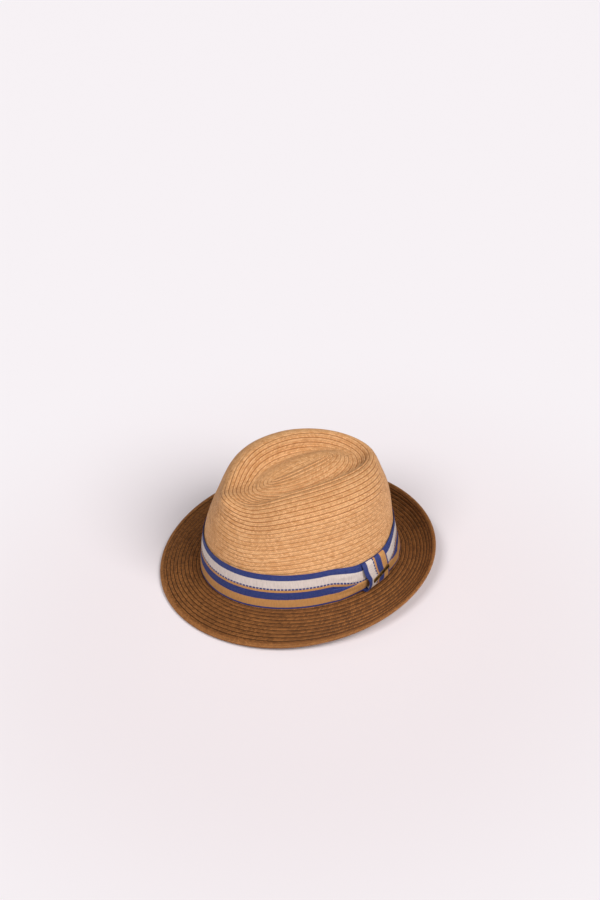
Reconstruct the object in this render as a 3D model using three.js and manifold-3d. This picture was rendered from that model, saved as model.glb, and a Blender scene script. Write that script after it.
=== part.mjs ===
// Sewn-braid trilby (short-brim fedora): tan crown with a teardrop dent, brown
// brim turned up at the sides and back and dipped at the front, striped ribbon
// band with a loop keeper and a small metal bar, sweatband inside.
//
// Units are millimetres, +Z is up, the front of the hat faces -Y and the
// wearer's left is +X. The hat is described in its own headline frame (z = 0 at
// the joint of crown and brim) and the outer group then leans it back by
// REST_TILT_DEG and lifts it, so that it stands on the front edge of the brim
// and on the low line of the brim behind the crown.
//
// "Position angle" a runs from the front (0) through the wearer's left (90) and
// the back (180): x = W sin a, y = -L cos a.

import * as THREE from 'three';
import { mergeVertices } from 'three/addons/utils/BufferGeometryUtils.js';
import Module from 'manifold-3d';

// ---------------------------------------------------------------- dimensions
const HEAD_B = 85.5;              // headline oval, half width, outside of the ribbon
const HEAD_A = 102.5;             // headline oval, half length
const HEAD_SADDLE = 1.0;          // the headline rises at the sides by this much, dips front and back
const BRAID_T = 1.3;              // thickness of the sewn braid
const RIBBON_T = 0.8;             // grosgrain ribbon
const RIBBON_GAP = 0.3;           // air between crown and ribbon
const RIBBON_H = 38.0;            // ribbon width
const RIBBON_DIP = 6.0;           // the keeper pulls the ribbon's upper edge down by this much
const SWEAT_T = 1.0;              // sweatband thickness
const SWEAT_H = 30.0;             // sweatband height
const WIRE_D = 0.8;               // stiffening wire in the brim edge
const SEGMENTS = 60;              // steps around the hat

// crown ovals from the headline up, over the crest and into the dent:
// half width, front length, back length, height at front / side / back,
// share of the front pinch
const CROWN = [
  { w: 83.9, f: 100.9, b: 100.9, zf: -1.0, zs: 1.0, zb: -1.0, pinch: 0.00, lift: 0.00 },
  { w: 80.7, f: 97.3, b: 93.0, zf: 36.2, zs: 38.2, zb: 36.2, pinch: 0.00, lift: 0.00 },
  { w: 73.8, f: 91.2, b: 88.5, zf: 70.2, zs: 75.4, zb: 70.8, pinch: 0.40, lift: 0.50 },
  { w: 67.2, f: 86.3, b: 82.1, zf: 87.2, zs: 98.8, zb: 89.6, pinch: 1.00, lift: 1.00 },
  { w: 44.1, f: 76.0, b: 73.1, zf: 100.0, zs: 112.1, zb: 102.8, pinch: 0.60, lift: 1.00 },
  { w: 38.8, f: 68.0, b: 67.3, zf: 97.5, zs: 108.1, zb: 101.5, pinch: 0.40, lift: 0.75 },
  { w: 33.2, f: 60.0, b: 60.2, zf: 95.0, zs: 102.0, zb: 101.0, pinch: 0.20, lift: 0.40 },
  { w: 26.5, f: 52.0, b: 52.0, zf: 93.9, zs: 100.5, zb: 103.0, pinch: 0.10, lift: 0.15 },
  { w: 18.4, f: 43.9, b: 42.8, zf: 95.4, zs: 103.0, zb: 106.1, pinch: 0.00, lift: 0.00 },
  { w: 9.2, f: 35.2, b: 32.6, zf: 97.4, zs: 105.1, zb: 108.6, pinch: 0.00, lift: 0.00 },
];
const TIP_FRONT = 28.0;           // the braid starts as a short line: its front end
const TIP_BACK = 24.0;            // and its back end
const TIP_ZF = 98.9;
const TIP_ZB = 109.6;
const PINCH_ANGLE = 31.0;         // degrees from the front
const PINCH_SPREAD = 26.0;
const PINCH_DEPTH = 5.5;          // inward
const PINCH_DROP = 8.0;           // downward on the crest

// keeper loop and its metal bar, on the wearer's left
const KEEPER_ANGLE = 115.0;       // position angle of its middle
const KEEPER_W = 36.0;            // along the band
const KEEPER_T = 0.9;
const KEEPER_STAND = 4.6;         // crown surface to the keeper's inner face
const BAR_L = 25.0;
const BAR_H = 4.4;
const BAR_T = 1.2;
const BAR_Z = 12.5;               // height of the bar's middle above the headline
const BAR_ALONG = 3.2;            // its middle, from the keeper's middle towards the back
const BAR_TILT_DEG = 14.0;        // its rear end sits higher
const PRONG_D = 0.9;
const PRONG_SPACING = 15.0;
const FOLD_LENGTH = 60.0;         // gathered folds, from the keeper's middle

// rest pose
const REST_TILT_DEG = -3.2147;     // lean back about X
const REST_SHIFT = [0.0, 3.4345, 9.7195];

const RAD = Math.PI / 180;
const wasm = await Module();
wasm.setup();

// ------------------------------------------------------------------ helpers
// natural cubic spline through vectors p[i] at parameters t[i]
function spline(t, p) {
  const n = t.length, dims = p[0].length;
  const m = [];
  for (let d = 0; d < dims; d++) {
    const a = new Array(n).fill(0), b = new Array(n).fill(1), c = new Array(n).fill(0), r = new Array(n).fill(0);
    for (let i = 1; i < n - 1; i++) {
      const h0 = t[i] - t[i - 1], h1 = t[i + 1] - t[i];
      a[i] = h0; b[i] = 2 * (h0 + h1); c[i] = h1;
      r[i] = 6 * ((p[i + 1][d] - p[i][d]) / h1 - (p[i][d] - p[i - 1][d]) / h0);
    }
    for (let i = 1; i < n; i++) {
      const w = a[i] / b[i - 1];
      b[i] -= w * c[i - 1];
      r[i] -= w * r[i - 1];
    }
    const s = new Array(n).fill(0);
    for (let i = n - 2; i > 0; i--) s[i] = (r[i] - c[i] * s[i + 1]) / b[i];
    m.push(s);
  }
  return (x) => {
    let i = 0;
    while (i < n - 2 && x > t[i + 1]) i++;
    const h = t[i + 1] - t[i], u = (t[i + 1] - x) / h, v = (x - t[i]) / h;
    return p[i].map((_, d) => u * p[i][d] + v * p[i + 1][d]
      + ((u * u * u - u) * m[d][i] + (v * v * v - v) * m[d][i + 1]) * h * h / 6);
  };
}

// triangles of a flat-ish ring, wound the way the ring runs
function capTriangles(ring) {
  const c = ring.reduce((m, q) => add3(m, q, 1 / ring.length), [0, 0, 0]);
  let n = [0, 0, 0];
  ring.forEach((q, i) => { n = add3(n, cross3(sub3(q, c), sub3(ring[(i + 1) % ring.length], c))); });
  n = unit3(n);
  const e = unit3(sub3(ring[1], ring[0])), f = cross3(n, e);
  const flat = ring.map((q) => {
    const v = sub3(q, c);
    return new THREE.Vector2(v[0] * e[0] + v[1] * e[1] + v[2] * e[2], v[0] * f[0] + v[1] * f[1] + v[2] * f[2]);
  });
  return THREE.ShapeUtils.triangulateShape(flat, []);
}

// closed loft over rings of points; every ring has the same number of points.
// wrap = true also joins the last ring to the first (a ring-shaped body);
// otherwise both end rings are filled as fans.
function loft(rings, wrap, fanEnds = true) {
  const n = rings[0].length, pos = [], idx = [];
  rings.forEach((r) => r.forEach((q) => pos.push(q[0], q[1], q[2])));
  const m = wrap ? rings.length : rings.length - 1;
  for (let i = 0; i < m; i++) {
    const k = (i + 1) % rings.length;
    for (let j = 0; j < n; j++) {
      const l = (j + 1) % n;
      idx.push(i * n + j, k * n + l, k * n + j, i * n + j, i * n + l, k * n + l);
    }
  }
  if (!wrap && fanEnds) {
    for (const ring of [0, rings.length - 1]) {
      for (const t of capTriangles(rings[ring])) {
        const q = t.map((j) => ring * n + j);
        if (ring === 0) q.reverse();
        idx.push(...q);
      }
    }
  }
  const g = new THREE.BufferGeometry();
  g.setAttribute('position', new THREE.Float32BufferAttribute(pos, 3));
  g.setIndex(idx);
  return tidy(g);
}

// merge shared points, drop triangles that fold to a line, face outward
function tidy(geometry) {
  let g = geometry;
  for (const name of Object.keys(g.attributes)) if (name !== 'position') g.deleteAttribute(name);
  g = mergeVertices(g, 1e-4);
  const src = g.getIndex().array, out = [];
  for (let i = 0; i < src.length; i += 3) {
    const [a, b, c] = [src[i], src[i + 1], src[i + 2]];
    if (a !== b && b !== c && a !== c) out.push(a, b, c);
  }
  const p = g.getAttribute('position').array;
  let vol = 0;
  for (let i = 0; i < out.length; i += 3) {
    const [a, b, c] = [out[i] * 3, out[i + 1] * 3, out[i + 2] * 3];
    vol += p[a] * (p[b + 1] * p[c + 2] - p[b + 2] * p[c + 1])
      - p[a + 1] * (p[b] * p[c + 2] - p[b + 2] * p[c])
      + p[a + 2] * (p[b] * p[c + 1] - p[b + 1] * p[c]);
  }
  if (vol < 0) for (let i = 0; i < out.length; i += 3) [out[i + 1], out[i + 2]] = [out[i + 2], out[i + 1]];
  g.setIndex(out);
  g.computeVertexNormals();
  return g;
}

function toSolid(geometry) {
  let g = geometry.index ? geometry : mergeVertices(geometry);
  g = tidy(g.clone());
  return new wasm.Manifold(new wasm.Mesh({
    numProp: 3,
    vertProperties: new Float32Array(g.getAttribute('position').array),
    triVerts: new Uint32Array(g.getIndex().array),
  }));
}

function fromSolid(solid) {
  const m = solid.getMesh();
  const g = new THREE.BufferGeometry();
  g.setAttribute('position', new THREE.Float32BufferAttribute(Float32Array.from(m.vertProperties), 3));
  g.setIndex(Array.from(m.triVerts));
  g.computeVertexNormals();
  return g;
}

const sub3 = (a, b) => [a[0] - b[0], a[1] - b[1], a[2] - b[2]];
const add3 = (a, b, s = 1) => [a[0] + s * b[0], a[1] + s * b[1], a[2] + s * b[2]];
const cross3 = (a, b) => [a[1] * b[2] - a[2] * b[1], a[2] * b[0] - a[0] * b[2], a[0] * b[1] - a[1] * b[0]];
const unit3 = (a) => { const l = Math.hypot(...a) || 1; return [a[0] / l, a[1] / l, a[2] / l]; };
const len3 = (a) => Math.hypot(a[0], a[1], a[2]);

// ------------------------------------------------------------ crown surface
// one line of the crown at position angle a: its station points
function crownStations(a) {
  const s = Math.sin(a), c = Math.cos(a);
  const fromFront = Math.abs(((a + Math.PI) % (2 * Math.PI) + 2 * Math.PI) % (2 * Math.PI) - Math.PI);
  const pin = Math.exp(-(((fromFront - PINCH_ANGLE * RAD) / (PINCH_SPREAD * RAD)) ** 2));
  const pts = CROWN.map((o) => {
    const x = o.w * s, y = -(c > 0 ? o.f : o.b) * c;
    const r = Math.hypot(x, y), k = (r - PINCH_DEPTH * o.pinch * pin) / r;
    const m0 = ((o.zf + o.zb) / 2 + o.zs) / 2, m1 = (o.zf - o.zb) / 2, m2 = ((o.zf + o.zb) / 2 - o.zs) / 2;
    return [x * k, y * k, m0 + m1 * c + m2 * Math.cos(2 * a) - PINCH_DROP * o.lift * pin];
  });
  const ty = (TIP_BACK - TIP_FRONT) / 2 - (TIP_FRONT + TIP_BACK) / 2 * c;
  pts.push([0, ty, (TIP_ZF + TIP_ZB) / 2 + (TIP_ZF - TIP_ZB) / 2 * c]);
  return pts;
}

// shared spline parameters: mean chord length from station to station
const crownT = (() => {
  const t = new Array(CROWN.length + 1).fill(0), N = 180;
  for (let i = 0; i < N; i++) {
    const p = crownStations(i * 2 * Math.PI / N);
    for (let k = 1; k < p.length; k++) t[k] += len3(sub3(p[k], p[k - 1])) / N;
  }
  for (let k = 1; k < t.length; k++) t[k] += t[k - 1];
  return t;
})();

// crown line at angle a, resampled by its own length: u = 0 headline, 1 tip
function crownLine(a) {
  const f = spline(crownT, crownStations(a));
  const N = 240, pts = [], acc = [0];
  for (let i = 0; i <= N; i++) {
    pts.push(f(crownT[crownT.length - 1] * i / N));
    if (i) acc.push(acc[i - 1] + len3(sub3(pts[i], pts[i - 1])));
  }
  return {
    length: acc[N],
    at(u) {
      const s = Math.min(Math.max(u, 0), 1) * acc[N];
      let i = 0;
      while (i < N - 1 && acc[i + 1] < s) i++;
      const k = (s - acc[i]) / (acc[i + 1] - acc[i]);
      return pts[i].map((v, d) => v + (pts[i + 1][d] - v) * k);
    },
  };
}
const lineCache = new Map();
const line = (a) => {
  const key = a.toFixed(9);
  if (!lineCache.has(key)) lineCache.set(key, crownLine(a));
  return lineCache.get(key);
};
function crownNormal(a, u) {
  const da = 0.004, du = 0.002;
  const n = cross3(sub3(line(a + da).at(u), line(a - da).at(u)), sub3(line(a).at(u + du), line(a).at(u - du)));
  return unit3(n);
}
// point on the crown wall at height h above the headline, pushed out by d
function wallPoint(a, h, d) {
  const l = line(a);
  const z0 = l.at(0)[2];
  let u = h / l.length;
  for (let i = 0; i < 12; i++) u += (h - (l.at(Math.max(u, 0))[2] - z0)) / l.length * 0.9;
  if (h <= 0) {
    const p = l.at(0), n = crownNormal(a, 0.01);
    return add3([p[0], p[1], z0 + h], n, d);
  }
  return add3(l.at(u), crownNormal(a, Math.max(u, 0.01)), d);
}

const angleAt = (i, n = SEGMENTS) => (i + 0.5) * 2 * Math.PI / n;

// ---------------------------------------------------------------- the crown
function crownGeometry() {
  const us = [0, 0.1, 0.2, 0.3, 0.4, 0.48, 0.54, 0.59, 0.63, 0.67, 0.71, 0.75, 0.79, 0.83, 0.87, 0.91, 0.955, 1];
  const outer = us.map((u) => Array.from({ length: SEGMENTS }, (_, i) => line(angleAt(i)).at(u)));
  const inner = us.map((u) => Array.from({ length: SEGMENTS }, (_, i) => {
    const a = angleAt(i), p = line(a).at(u);
    const n = u > 0.999 ? [0, 0, 1] : crownNormal(a, Math.max(u, 0.004));
    if (u < 0.001) { n[2] = 0; }
    return add3(p, unit3(n), -BRAID_T);
  }));
  // tip of the inner skin stays on the centre line
  inner[inner.length - 1].forEach((p) => { p[0] = 0; });
  const rings = [...inner.slice().reverse(), ...outer];
  return loft(rings, false, false);
}

// ----------------------------------------------------------------- the brim
// profile of the brim at angle a: an arc from the headline to the edge
function brimArc(a) {
  const c1 = Math.cos(a), c2 = Math.cos(2 * a), c3 = Math.cos(3 * a);
  const w = 41.1 + 4.6 * c1 - 6.7 * c2;
  const h = 1.25 - 16.35 * c1 - 1.54 * c2 + 0.64 * c3 + HEAD_SADDLE * c2;
  const bend = 0.25 - 0.55 * c1;               // half angle of the arc, + turns up
  const n = unit3([Math.sin(a) / HEAD_B, -Math.cos(a) / HEAD_A, 0]);
  const x0 = HEAD_B * Math.sin(a), y0 = -HEAD_A * Math.cos(a), z0 = -HEAD_SADDLE * c2;
  const chord = Math.hypot(w, h), dir = Math.atan2(h, w);
  const half = Math.abs(bend) < 1e-3 ? 1e-3 : bend;
  const R = chord / (2 * Math.sin(half));
  const arc = 2 * half * R;
  return {
    arc,
    // s along the arc from the headline (may be negative, straight), d above it
    at(s, d) {
      const th0 = dir - half, k = Math.max(s, 0) / R, th = th0 + k;
      let r = R * (Math.sin(th) - Math.sin(th0)), z = -R * (Math.cos(th) - Math.cos(th0));
      if (s < 0) { r = s; z = 0; }
      const nx = s < 0 ? 0 : -Math.sin(th), nz = s < 0 ? 1 : Math.cos(th);
      r += d * nx; z += d * nz;
      return [x0 + n[0] * r, y0 + n[1] * r, z0 + z];
    },
  };
}
const BRIM_TOP = -0.4;              // top face of the brim at the headline, just below the crown's foot
const EDGE_W = 4.2;               // width of the turned last row
const EDGE_T = 2.7;               // its thickness over the wire
const EDGE_WALL = 0.6;

function brimGeometry() {
  const rings = Array.from({ length: SEGMENTS }, (_, i) => {
    const b = brimArc(angleAt(i)), end = b.arc - EDGE_W - 0.3;
    const top = [], bottom = [];
    const steps = [-2.2, 0, 5, 11, 17, 23, 29, end];
    for (let k = 0; k < steps.length; k++) {
      let s = steps[k];
      if (k > 1 && k < steps.length - 1) s = end * (k - 1) / (steps.length - 2);
      top.push(b.at(s, BRIM_TOP)); bottom.push(b.at(s, BRIM_TOP - BRAID_T));
    }
    return [...top, ...bottom.reverse()];
  });
  return loft(rings, true);
}

const EDGE_MID = BRIM_TOP - BRAID_T / 2;
function edgeRowGeometry() {
  const o = EDGE_T / 2, w = EDGE_WALL;
  const rings = Array.from({ length: SEGMENTS }, (_, i) => {
    const b = brimArc(angleAt(i)), s0 = b.arc - EDGE_W, s1 = b.arc;
    return [
      b.at(s0, EDGE_MID + o), b.at(s1 - 0.5, EDGE_MID + o), b.at(s1, EDGE_MID + o - 0.7), b.at(s1, EDGE_MID - o + 0.7),
      b.at(s1 - 0.5, EDGE_MID - o), b.at(s0, EDGE_MID - o), b.at(s0, EDGE_MID - o + w), b.at(s1 - w, EDGE_MID - o + w),
      b.at(s1 - w, EDGE_MID + o - w), b.at(s0, EDGE_MID + o - w),
    ];
  });
  return loft(rings, true);
}

// point in the brim edge at any angle, on the straight run between two of the
// edge row's steps, so that what lies in its channel bends where it bends
function inEdge(a, dIn, d) {
  const step = 2 * Math.PI / SEGMENTS, t = a / step - 0.5, i = Math.floor(t), k = t - i;
  const P = (j) => { const b = brimArc(angleAt(j)); return b.at(b.arc - dIn, EDGE_MID + d); };
  const p = P(i), q = P(i + 1);
  return p.map((v, c) => v + (q[c] - v) * k);
}
// six-sided rod section in the channel
function rodRing(a, r) {
  return Array.from({ length: 6 }, (_, k) => {
    const t = (k + 0.5) * Math.PI / 3;
    return inEdge(a, WIRE_IN - r * Math.cos(t), r * Math.sin(t));
  });
}
const WIRE_IN = 1.45;             // wire centre, in from the very edge
const WIRE_STEP = 28;             // the wire's ends meet in the middle of this step
const wireJoin = (WIRE_STEP + 1) * 2 * Math.PI / SEGMENTS;

function wireGeometry() {
  const gap = 0.4 / 125, rings = [rodRing(wireJoin + gap, WIRE_D / 2)];
  for (let i = 1; i <= SEGMENTS; i++) rings.push(rodRing(angleAt(WIRE_STEP + i), WIRE_D / 2));
  rings.push(rodRing(wireJoin + 2 * Math.PI - gap, WIRE_D / 2));
  return loft(rings, false);
}
function sleeveGeometry() {
  const half = 4.5 / 125;
  const out = [wireJoin - half, wireJoin + half].map((a) => rodRing(a, 0.62));
  const bore = [wireJoin + half, wireJoin - half].map((a) => rodRing(a, WIRE_D / 2 + 0.1));
  return loft([...out, ...bore], true);
}

// ------------------------------------------------- strips against the crown
// wall point on the straight run between two steps of the crown, so that every
// strip that lies against the crown bends exactly where the crown does
const wallCache = new Map();
function stepPoint(i, h, d) {
  const key = `${i} ${h} ${d}`;
  if (!wallCache.has(key)) wallCache.set(key, wallPoint(angleAt(i), h, d));
  return wallCache.get(key);
}
function onWall(a, h, d) {
  const t = a / (2 * Math.PI / SEGMENTS) - 0.5;
  let i = Math.floor(t), k = t - i;
  if (k > 1 - 1e-9) { i += 1; k = 0; }
  const p = stepPoint(i, h, d);
  if (k < 1e-9) return p;
  const q = stepPoint(i + 1, h, d);
  return p.map((v, c) => v + (q[c] - v) * k);
}
// the angles of a strip from a0 to a1: its ends and each step between them
function stripAngles(a0, a1) {
  const step = 2 * Math.PI / SEGMENTS, out = [a0];
  for (let i = Math.ceil(a0 / step - 0.5 + 1e-6); (i + 0.5) * step < a1 - 1e-6; i++) out.push((i + 0.5) * step);
  out.push(a1);
  return out;
}
// closed strip that follows the wall between position angles a0..a1, heights
// h0..h1 and offsets d0..d1 from the crown's outer face
function wallStrip(a0, a1, heights, d0, d1) {
  return loft(stripAngles(a0, a1).map((a) => [
    ...heights.map((h) => onWall(a, h, d1)),
    ...heights.slice().reverse().map((h) => onWall(a, h, d0)),
  ]), false);
}
const kA = KEEPER_ANGLE * RAD;
// millimetres along the band to a change of position angle, near the keeper
const perMm = (() => {
  const p = onWall(kA + 0.01, 15, 0), q = onWall(kA - 0.01, 15, 0);
  return 0.02 / len3(sub3(p, q));
})();

// share of the keeper's pull on the ribbon at angle a: 1 under it, 0 well away
function pull(a) {
  const off = Math.abs(((a - kA + Math.PI) % (2 * Math.PI) + 2 * Math.PI) % (2 * Math.PI) - Math.PI) / perMm;
  const t = Math.min(Math.max((off - KEEPER_W / 2) / (FOLD_LENGTH - KEEPER_W / 2), 0), 1);
  return 1 - t * t * (3 - 2 * t);
}

function ribbonGeometry() {
  const g = 0.5 * perMm, d0 = RIBBON_GAP, d1 = RIBBON_GAP + RIBBON_T;
  return loft(stripAngles(kA + g, kA + 2 * Math.PI - g).map((a) => {
    const top = RIBBON_H - RIBBON_DIP * pull(a), hs = [0.3, RIBBON_H / 2, top];
    return [...hs.map((h) => onWall(a, h, d1)), ...hs.slice().reverse().map((h) => onWall(a, h, d0))];
  }), false);
}

// the gathered folds of the ribbon that the keeper holds down
function foldGeometry(side) {
  const near = kA + side * perMm * 0.7, far = kA + side * perMm * FOLD_LENGTH;
  const rings = stripAngles(Math.min(near, far), Math.max(near, far)).map((a) => {
    const t = Math.abs(a - far) / Math.abs(near - far);
    const lo = 8 - 3 * t, hi = 14 + 4 * t, d = RIBBON_GAP + RIBBON_T + 0.3;
    const th = 0.35 + 0.25 * t;
    return [onWall(a, lo, d + th), onWall(a, hi, d + th), onWall(a, hi, d), onWall(a, lo, d)];
  });
  return loft(rings, false);
}

// loop keeper: a strap across the band whose ends turn in over both ribbon edges
function keeperGeometry() {
  const half = KEEPER_W / 2 * perMm;
  const top = RIBBON_H - 6.0, low = 3.0, s = KEEPER_STAND, t = KEEPER_T, d = RIBBON_GAP + RIBBON_T + 0.3;
  const rings = stripAngles(kA - half, kA + half).map((a) => {
    const P = (h, off) => onWall(a, h, off);
    return [
      P(low - 0.6, d), P(low - 1.4, s - 0.6), P(low - 0.2, s + t), P(RIBBON_H / 2, s + t + 0.3),
      P(top + 0.2, s + t), P(top + 1.4, s - 0.6), P(top + 0.6, d),
      P(top - 0.3, d), P(top + 0.4, s - 0.7), P(top - 0.5, s),
      P(RIBBON_H / 2, s + 0.3), P(low + 0.5, s), P(low - 0.4, s - 0.7), P(low + 0.3, d),
    ];
  });
  return loft(rings, false);
}

// frame on the keeper's outer face, at the bar
function barFrame() {
  const a = kA + BAR_ALONG * perMm, tilt = BAR_TILT_DEG * RAD;
  const o = onWall(a, BAR_Z, KEEPER_STAND + KEEPER_T + 0.3 + 0.35);
  const e = onWall(a + 0.1, BAR_Z, KEEPER_STAND), w = onWall(a - 0.1, BAR_Z, KEEPER_STAND);
  const x0 = unit3(sub3(e, w)), n = crownNormal(a, 0.1);
  const y0 = unit3(cross3(n, x0)), z = unit3(cross3(x0, y0));
  const up = y0[2] > 0 ? 1 : -1;
  const x = unit3(add3(x0.map((v) => v * Math.cos(tilt)), y0, up * Math.sin(tilt)));
  const y = unit3(cross3(z, x));
  const m = new THREE.Matrix4().makeBasis(new THREE.Vector3(...x), new THREE.Vector3(...y), new THREE.Vector3(...z));
  m.setPosition(...o);
  return m;
}

function barOutline(l, h, r) {
  const s = new THREE.Shape();
  s.moveTo(-l / 2 + r, -h / 2);
  s.lineTo(l / 2 - r, -h / 2);
  s.absarc(l / 2 - r, -h / 2 + r, r, -Math.PI / 2, 0, false);
  s.lineTo(l / 2, h / 2 - r);
  s.absarc(l / 2 - r, h / 2 - r, r, 0, Math.PI / 2, false);
  s.lineTo(-l / 2 + r, h / 2);
  s.absarc(-l / 2 + r, h / 2 - r, r, Math.PI / 2, Math.PI, false);
  s.lineTo(-l / 2, -h / 2 + r);
  s.absarc(-l / 2 + r, -h / 2 + r, r, Math.PI, 1.5 * Math.PI, false);
  return s;
}

const BACKING_T = 0.4;
const BACKING_Z = -2.45;          // back face of the retainer, from the back of the bar
const PRONG_REACH = 2.65;         // posts, from the back of the bar through keeper and retainer
const barMatrix = barFrame();

function barGeometry() {
  const plate = new THREE.ExtrudeGeometry(barOutline(BAR_L, BAR_H, 0.9), { depth: BAR_T, bevelEnabled: false, curveSegments: 4 });
  let solid = toSolid(plate);
  for (const x of [-PRONG_SPACING / 2, PRONG_SPACING / 2]) {
    const post = new THREE.CylinderGeometry(PRONG_D / 2, PRONG_D / 2, PRONG_REACH + 0.4, 8);
    post.rotateX(Math.PI / 2);
    post.translate(x, 0, 0.4 - (PRONG_REACH + 0.4) / 2);
    solid = solid.add(toSolid(post));
  }
  return tidy(fromSolid(solid)).applyMatrix4(barMatrix);
}

// holes for the two posts, cut square through the keeper
function cutForPosts(geometry) {
  let solid = toSolid(geometry);
  for (const x of [-PRONG_SPACING / 2, PRONG_SPACING / 2]) {
    const drill = new THREE.CylinderGeometry(PRONG_D / 2 + 0.3, PRONG_D / 2 + 0.3, 4.4, 8);
    drill.rotateX(Math.PI / 2);
    drill.translate(x, 0, -1.0);
    drill.applyMatrix4(barMatrix);
    solid = solid.subtract(toSolid(drill));
  }
  return tidy(fromSolid(solid));
}

// retainer behind the keeper: a small plate with two holes, held by the posts
function backingGeometry() {
  const s = barOutline(PRONG_SPACING + 4.6, 3.4, 0.8);
  for (const x of [-PRONG_SPACING / 2, PRONG_SPACING / 2]) {
    const h = new THREE.Path();
    h.absarc(x, 0, PRONG_D / 2 + 0.25, 0, Math.PI * 2, true);
    s.holes.push(h);
  }
  const g = new THREE.ExtrudeGeometry(s, { depth: BACKING_T, bevelEnabled: false, curveSegments: 8 });
  g.translate(0, 0, BACKING_Z);
  return tidy(g.applyMatrix4(barMatrix));
}

// ------------------------------------------------------------------- inside
const INSIDE = -BRAID_T - 0.35;   // sweatband's outer face, from the crown's outer face
function sweatbandGeometry() {
  const g = 0.35 / 95;
  return wallStrip(Math.PI + g, 3 * Math.PI - g, [0.6, SWEAT_H / 2, SWEAT_H], INSIDE - SWEAT_T, INSIDE);
}
function reedGeometry() {
  const rings = Array.from({ length: SEGMENTS }, (_, i) => {
    const a = angleAt(i), ring = [];
    for (let k = 0; k < 6; k++) {
      const t = (k + 0.5) * Math.PI / 3;
      ring.push(onWall(a, -1.0 + 1.0 * Math.sin(t), INSIDE - SWEAT_T / 2 - 0.6 + 1.0 * Math.cos(t)));
    }
    return ring;
  });
  return loft(rings, true);
}
function insideTab(angle, width, h0, h1, thick, stand) {
  const half = width / 2 / 92;
  const hs = [h0, SWEAT_H / 2, SWEAT_H].filter((h, i) => i === 0 || (h > h0 && h < h1)).concat(h1);
  return wallStrip(angle - half, angle + half, hs, INSIDE - SWEAT_T - stand - thick, INSIDE - SWEAT_T - stand);
}

// small thread tack that holds the ribbon's lower edge to the crown
function tackGeometry(degrees) {
  const a = degrees * RAD, half = 1.3 / 92, d = RIBBON_GAP + RIBBON_T + 0.3;
  return wallStrip(a - half, a + half, [2.0, 2.6], d, d + 0.3);
}

// ---------------------------------------------------------------- the scene
const material = (color, roughness, metalness = 0) => new THREE.MeshStandardMaterial({ color, roughness, metalness });
const hat = new THREE.Group();
function piece(name, geometry, mat) {
  const m = new THREE.Mesh(geometry, mat);
  m.name = name;
  hat.add(m);
  return m;
}

piece('crown', crownGeometry(), material(0xd9a572, 0.75));
piece('brim', brimGeometry(), material(0x75482a, 0.75));
piece('brim_edge_row', edgeRowGeometry(), material(0x7c4e2c, 0.75));
piece('brim_wire', wireGeometry(), material(0x6b6b6b, 0.4, 0.8));
piece('brim_wire_sleeve', sleeveGeometry(), material(0x8c7a4e, 0.4, 0.8));
piece('ribbon_band', ribbonGeometry(), material(0x384174, 0.6));
piece('ribbon_fold_front', foldGeometry(-1), material(0xd7c8c3, 0.6));
piece('ribbon_fold_rear', foldGeometry(1), material(0xd7c8c3, 0.6));
piece('keeper_loop', cutForPosts(keeperGeometry()), material(0x384174, 0.6));
piece('bar_pin', barGeometry(), material(0x4a3a24, 0.4, 0.9));
piece('bar_pin_backing', backingGeometry(), material(0x4a3a24, 0.4, 0.9));
piece('ribbon_tack_front', tackGeometry(0), material(0x384174, 0.8));
piece('ribbon_tack_left', tackGeometry(50), material(0x384174, 0.8));
piece('ribbon_tack_back', tackGeometry(180), material(0x384174, 0.8));
piece('ribbon_tack_right', tackGeometry(270), material(0x384174, 0.8));
piece('sweatband', sweatbandGeometry(), material(0xe9e2d6, 0.9));
piece('sweatband_reed', reedGeometry(), material(0xe9e2d6, 0.8));
piece('sweatband_seam_tape', insideTab(Math.PI, 9, 1.5, SWEAT_H - 1.0, 0.4, 0.3), material(0xe9e2d6, 0.9));
piece('size_tab', insideTab(Math.PI - 0.28, 14, 8, SWEAT_H - 4, 0.4, 0.3), material(0xffffff, 0.9));
piece('care_label', insideTab(Math.PI + 0.42, 22, 6, SWEAT_H + 12, 0.3, 0.3), material(0xffffff, 0.9));

hat.rotation.set(REST_TILT_DEG * RAD, 0, 0);
hat.position.set(...REST_SHIFT);

const root = new THREE.Group();
root.add(hat);
export default root;
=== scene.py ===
import bpy, bmesh, math
import numpy as np
from mathutils import Matrix, Vector


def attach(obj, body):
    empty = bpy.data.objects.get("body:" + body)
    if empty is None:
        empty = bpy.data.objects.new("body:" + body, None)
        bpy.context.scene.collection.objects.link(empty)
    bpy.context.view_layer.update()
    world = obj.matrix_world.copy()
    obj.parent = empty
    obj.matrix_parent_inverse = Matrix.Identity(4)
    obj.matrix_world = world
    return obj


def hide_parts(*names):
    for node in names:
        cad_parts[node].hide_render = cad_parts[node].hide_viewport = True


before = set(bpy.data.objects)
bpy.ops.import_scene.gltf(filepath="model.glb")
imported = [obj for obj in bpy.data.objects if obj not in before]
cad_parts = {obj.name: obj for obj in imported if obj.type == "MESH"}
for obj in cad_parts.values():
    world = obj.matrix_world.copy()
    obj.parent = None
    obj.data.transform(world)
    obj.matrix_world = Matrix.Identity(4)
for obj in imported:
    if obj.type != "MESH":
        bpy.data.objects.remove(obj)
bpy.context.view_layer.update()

RAD = math.pi / 180
TAU = 2 * math.pi

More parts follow.
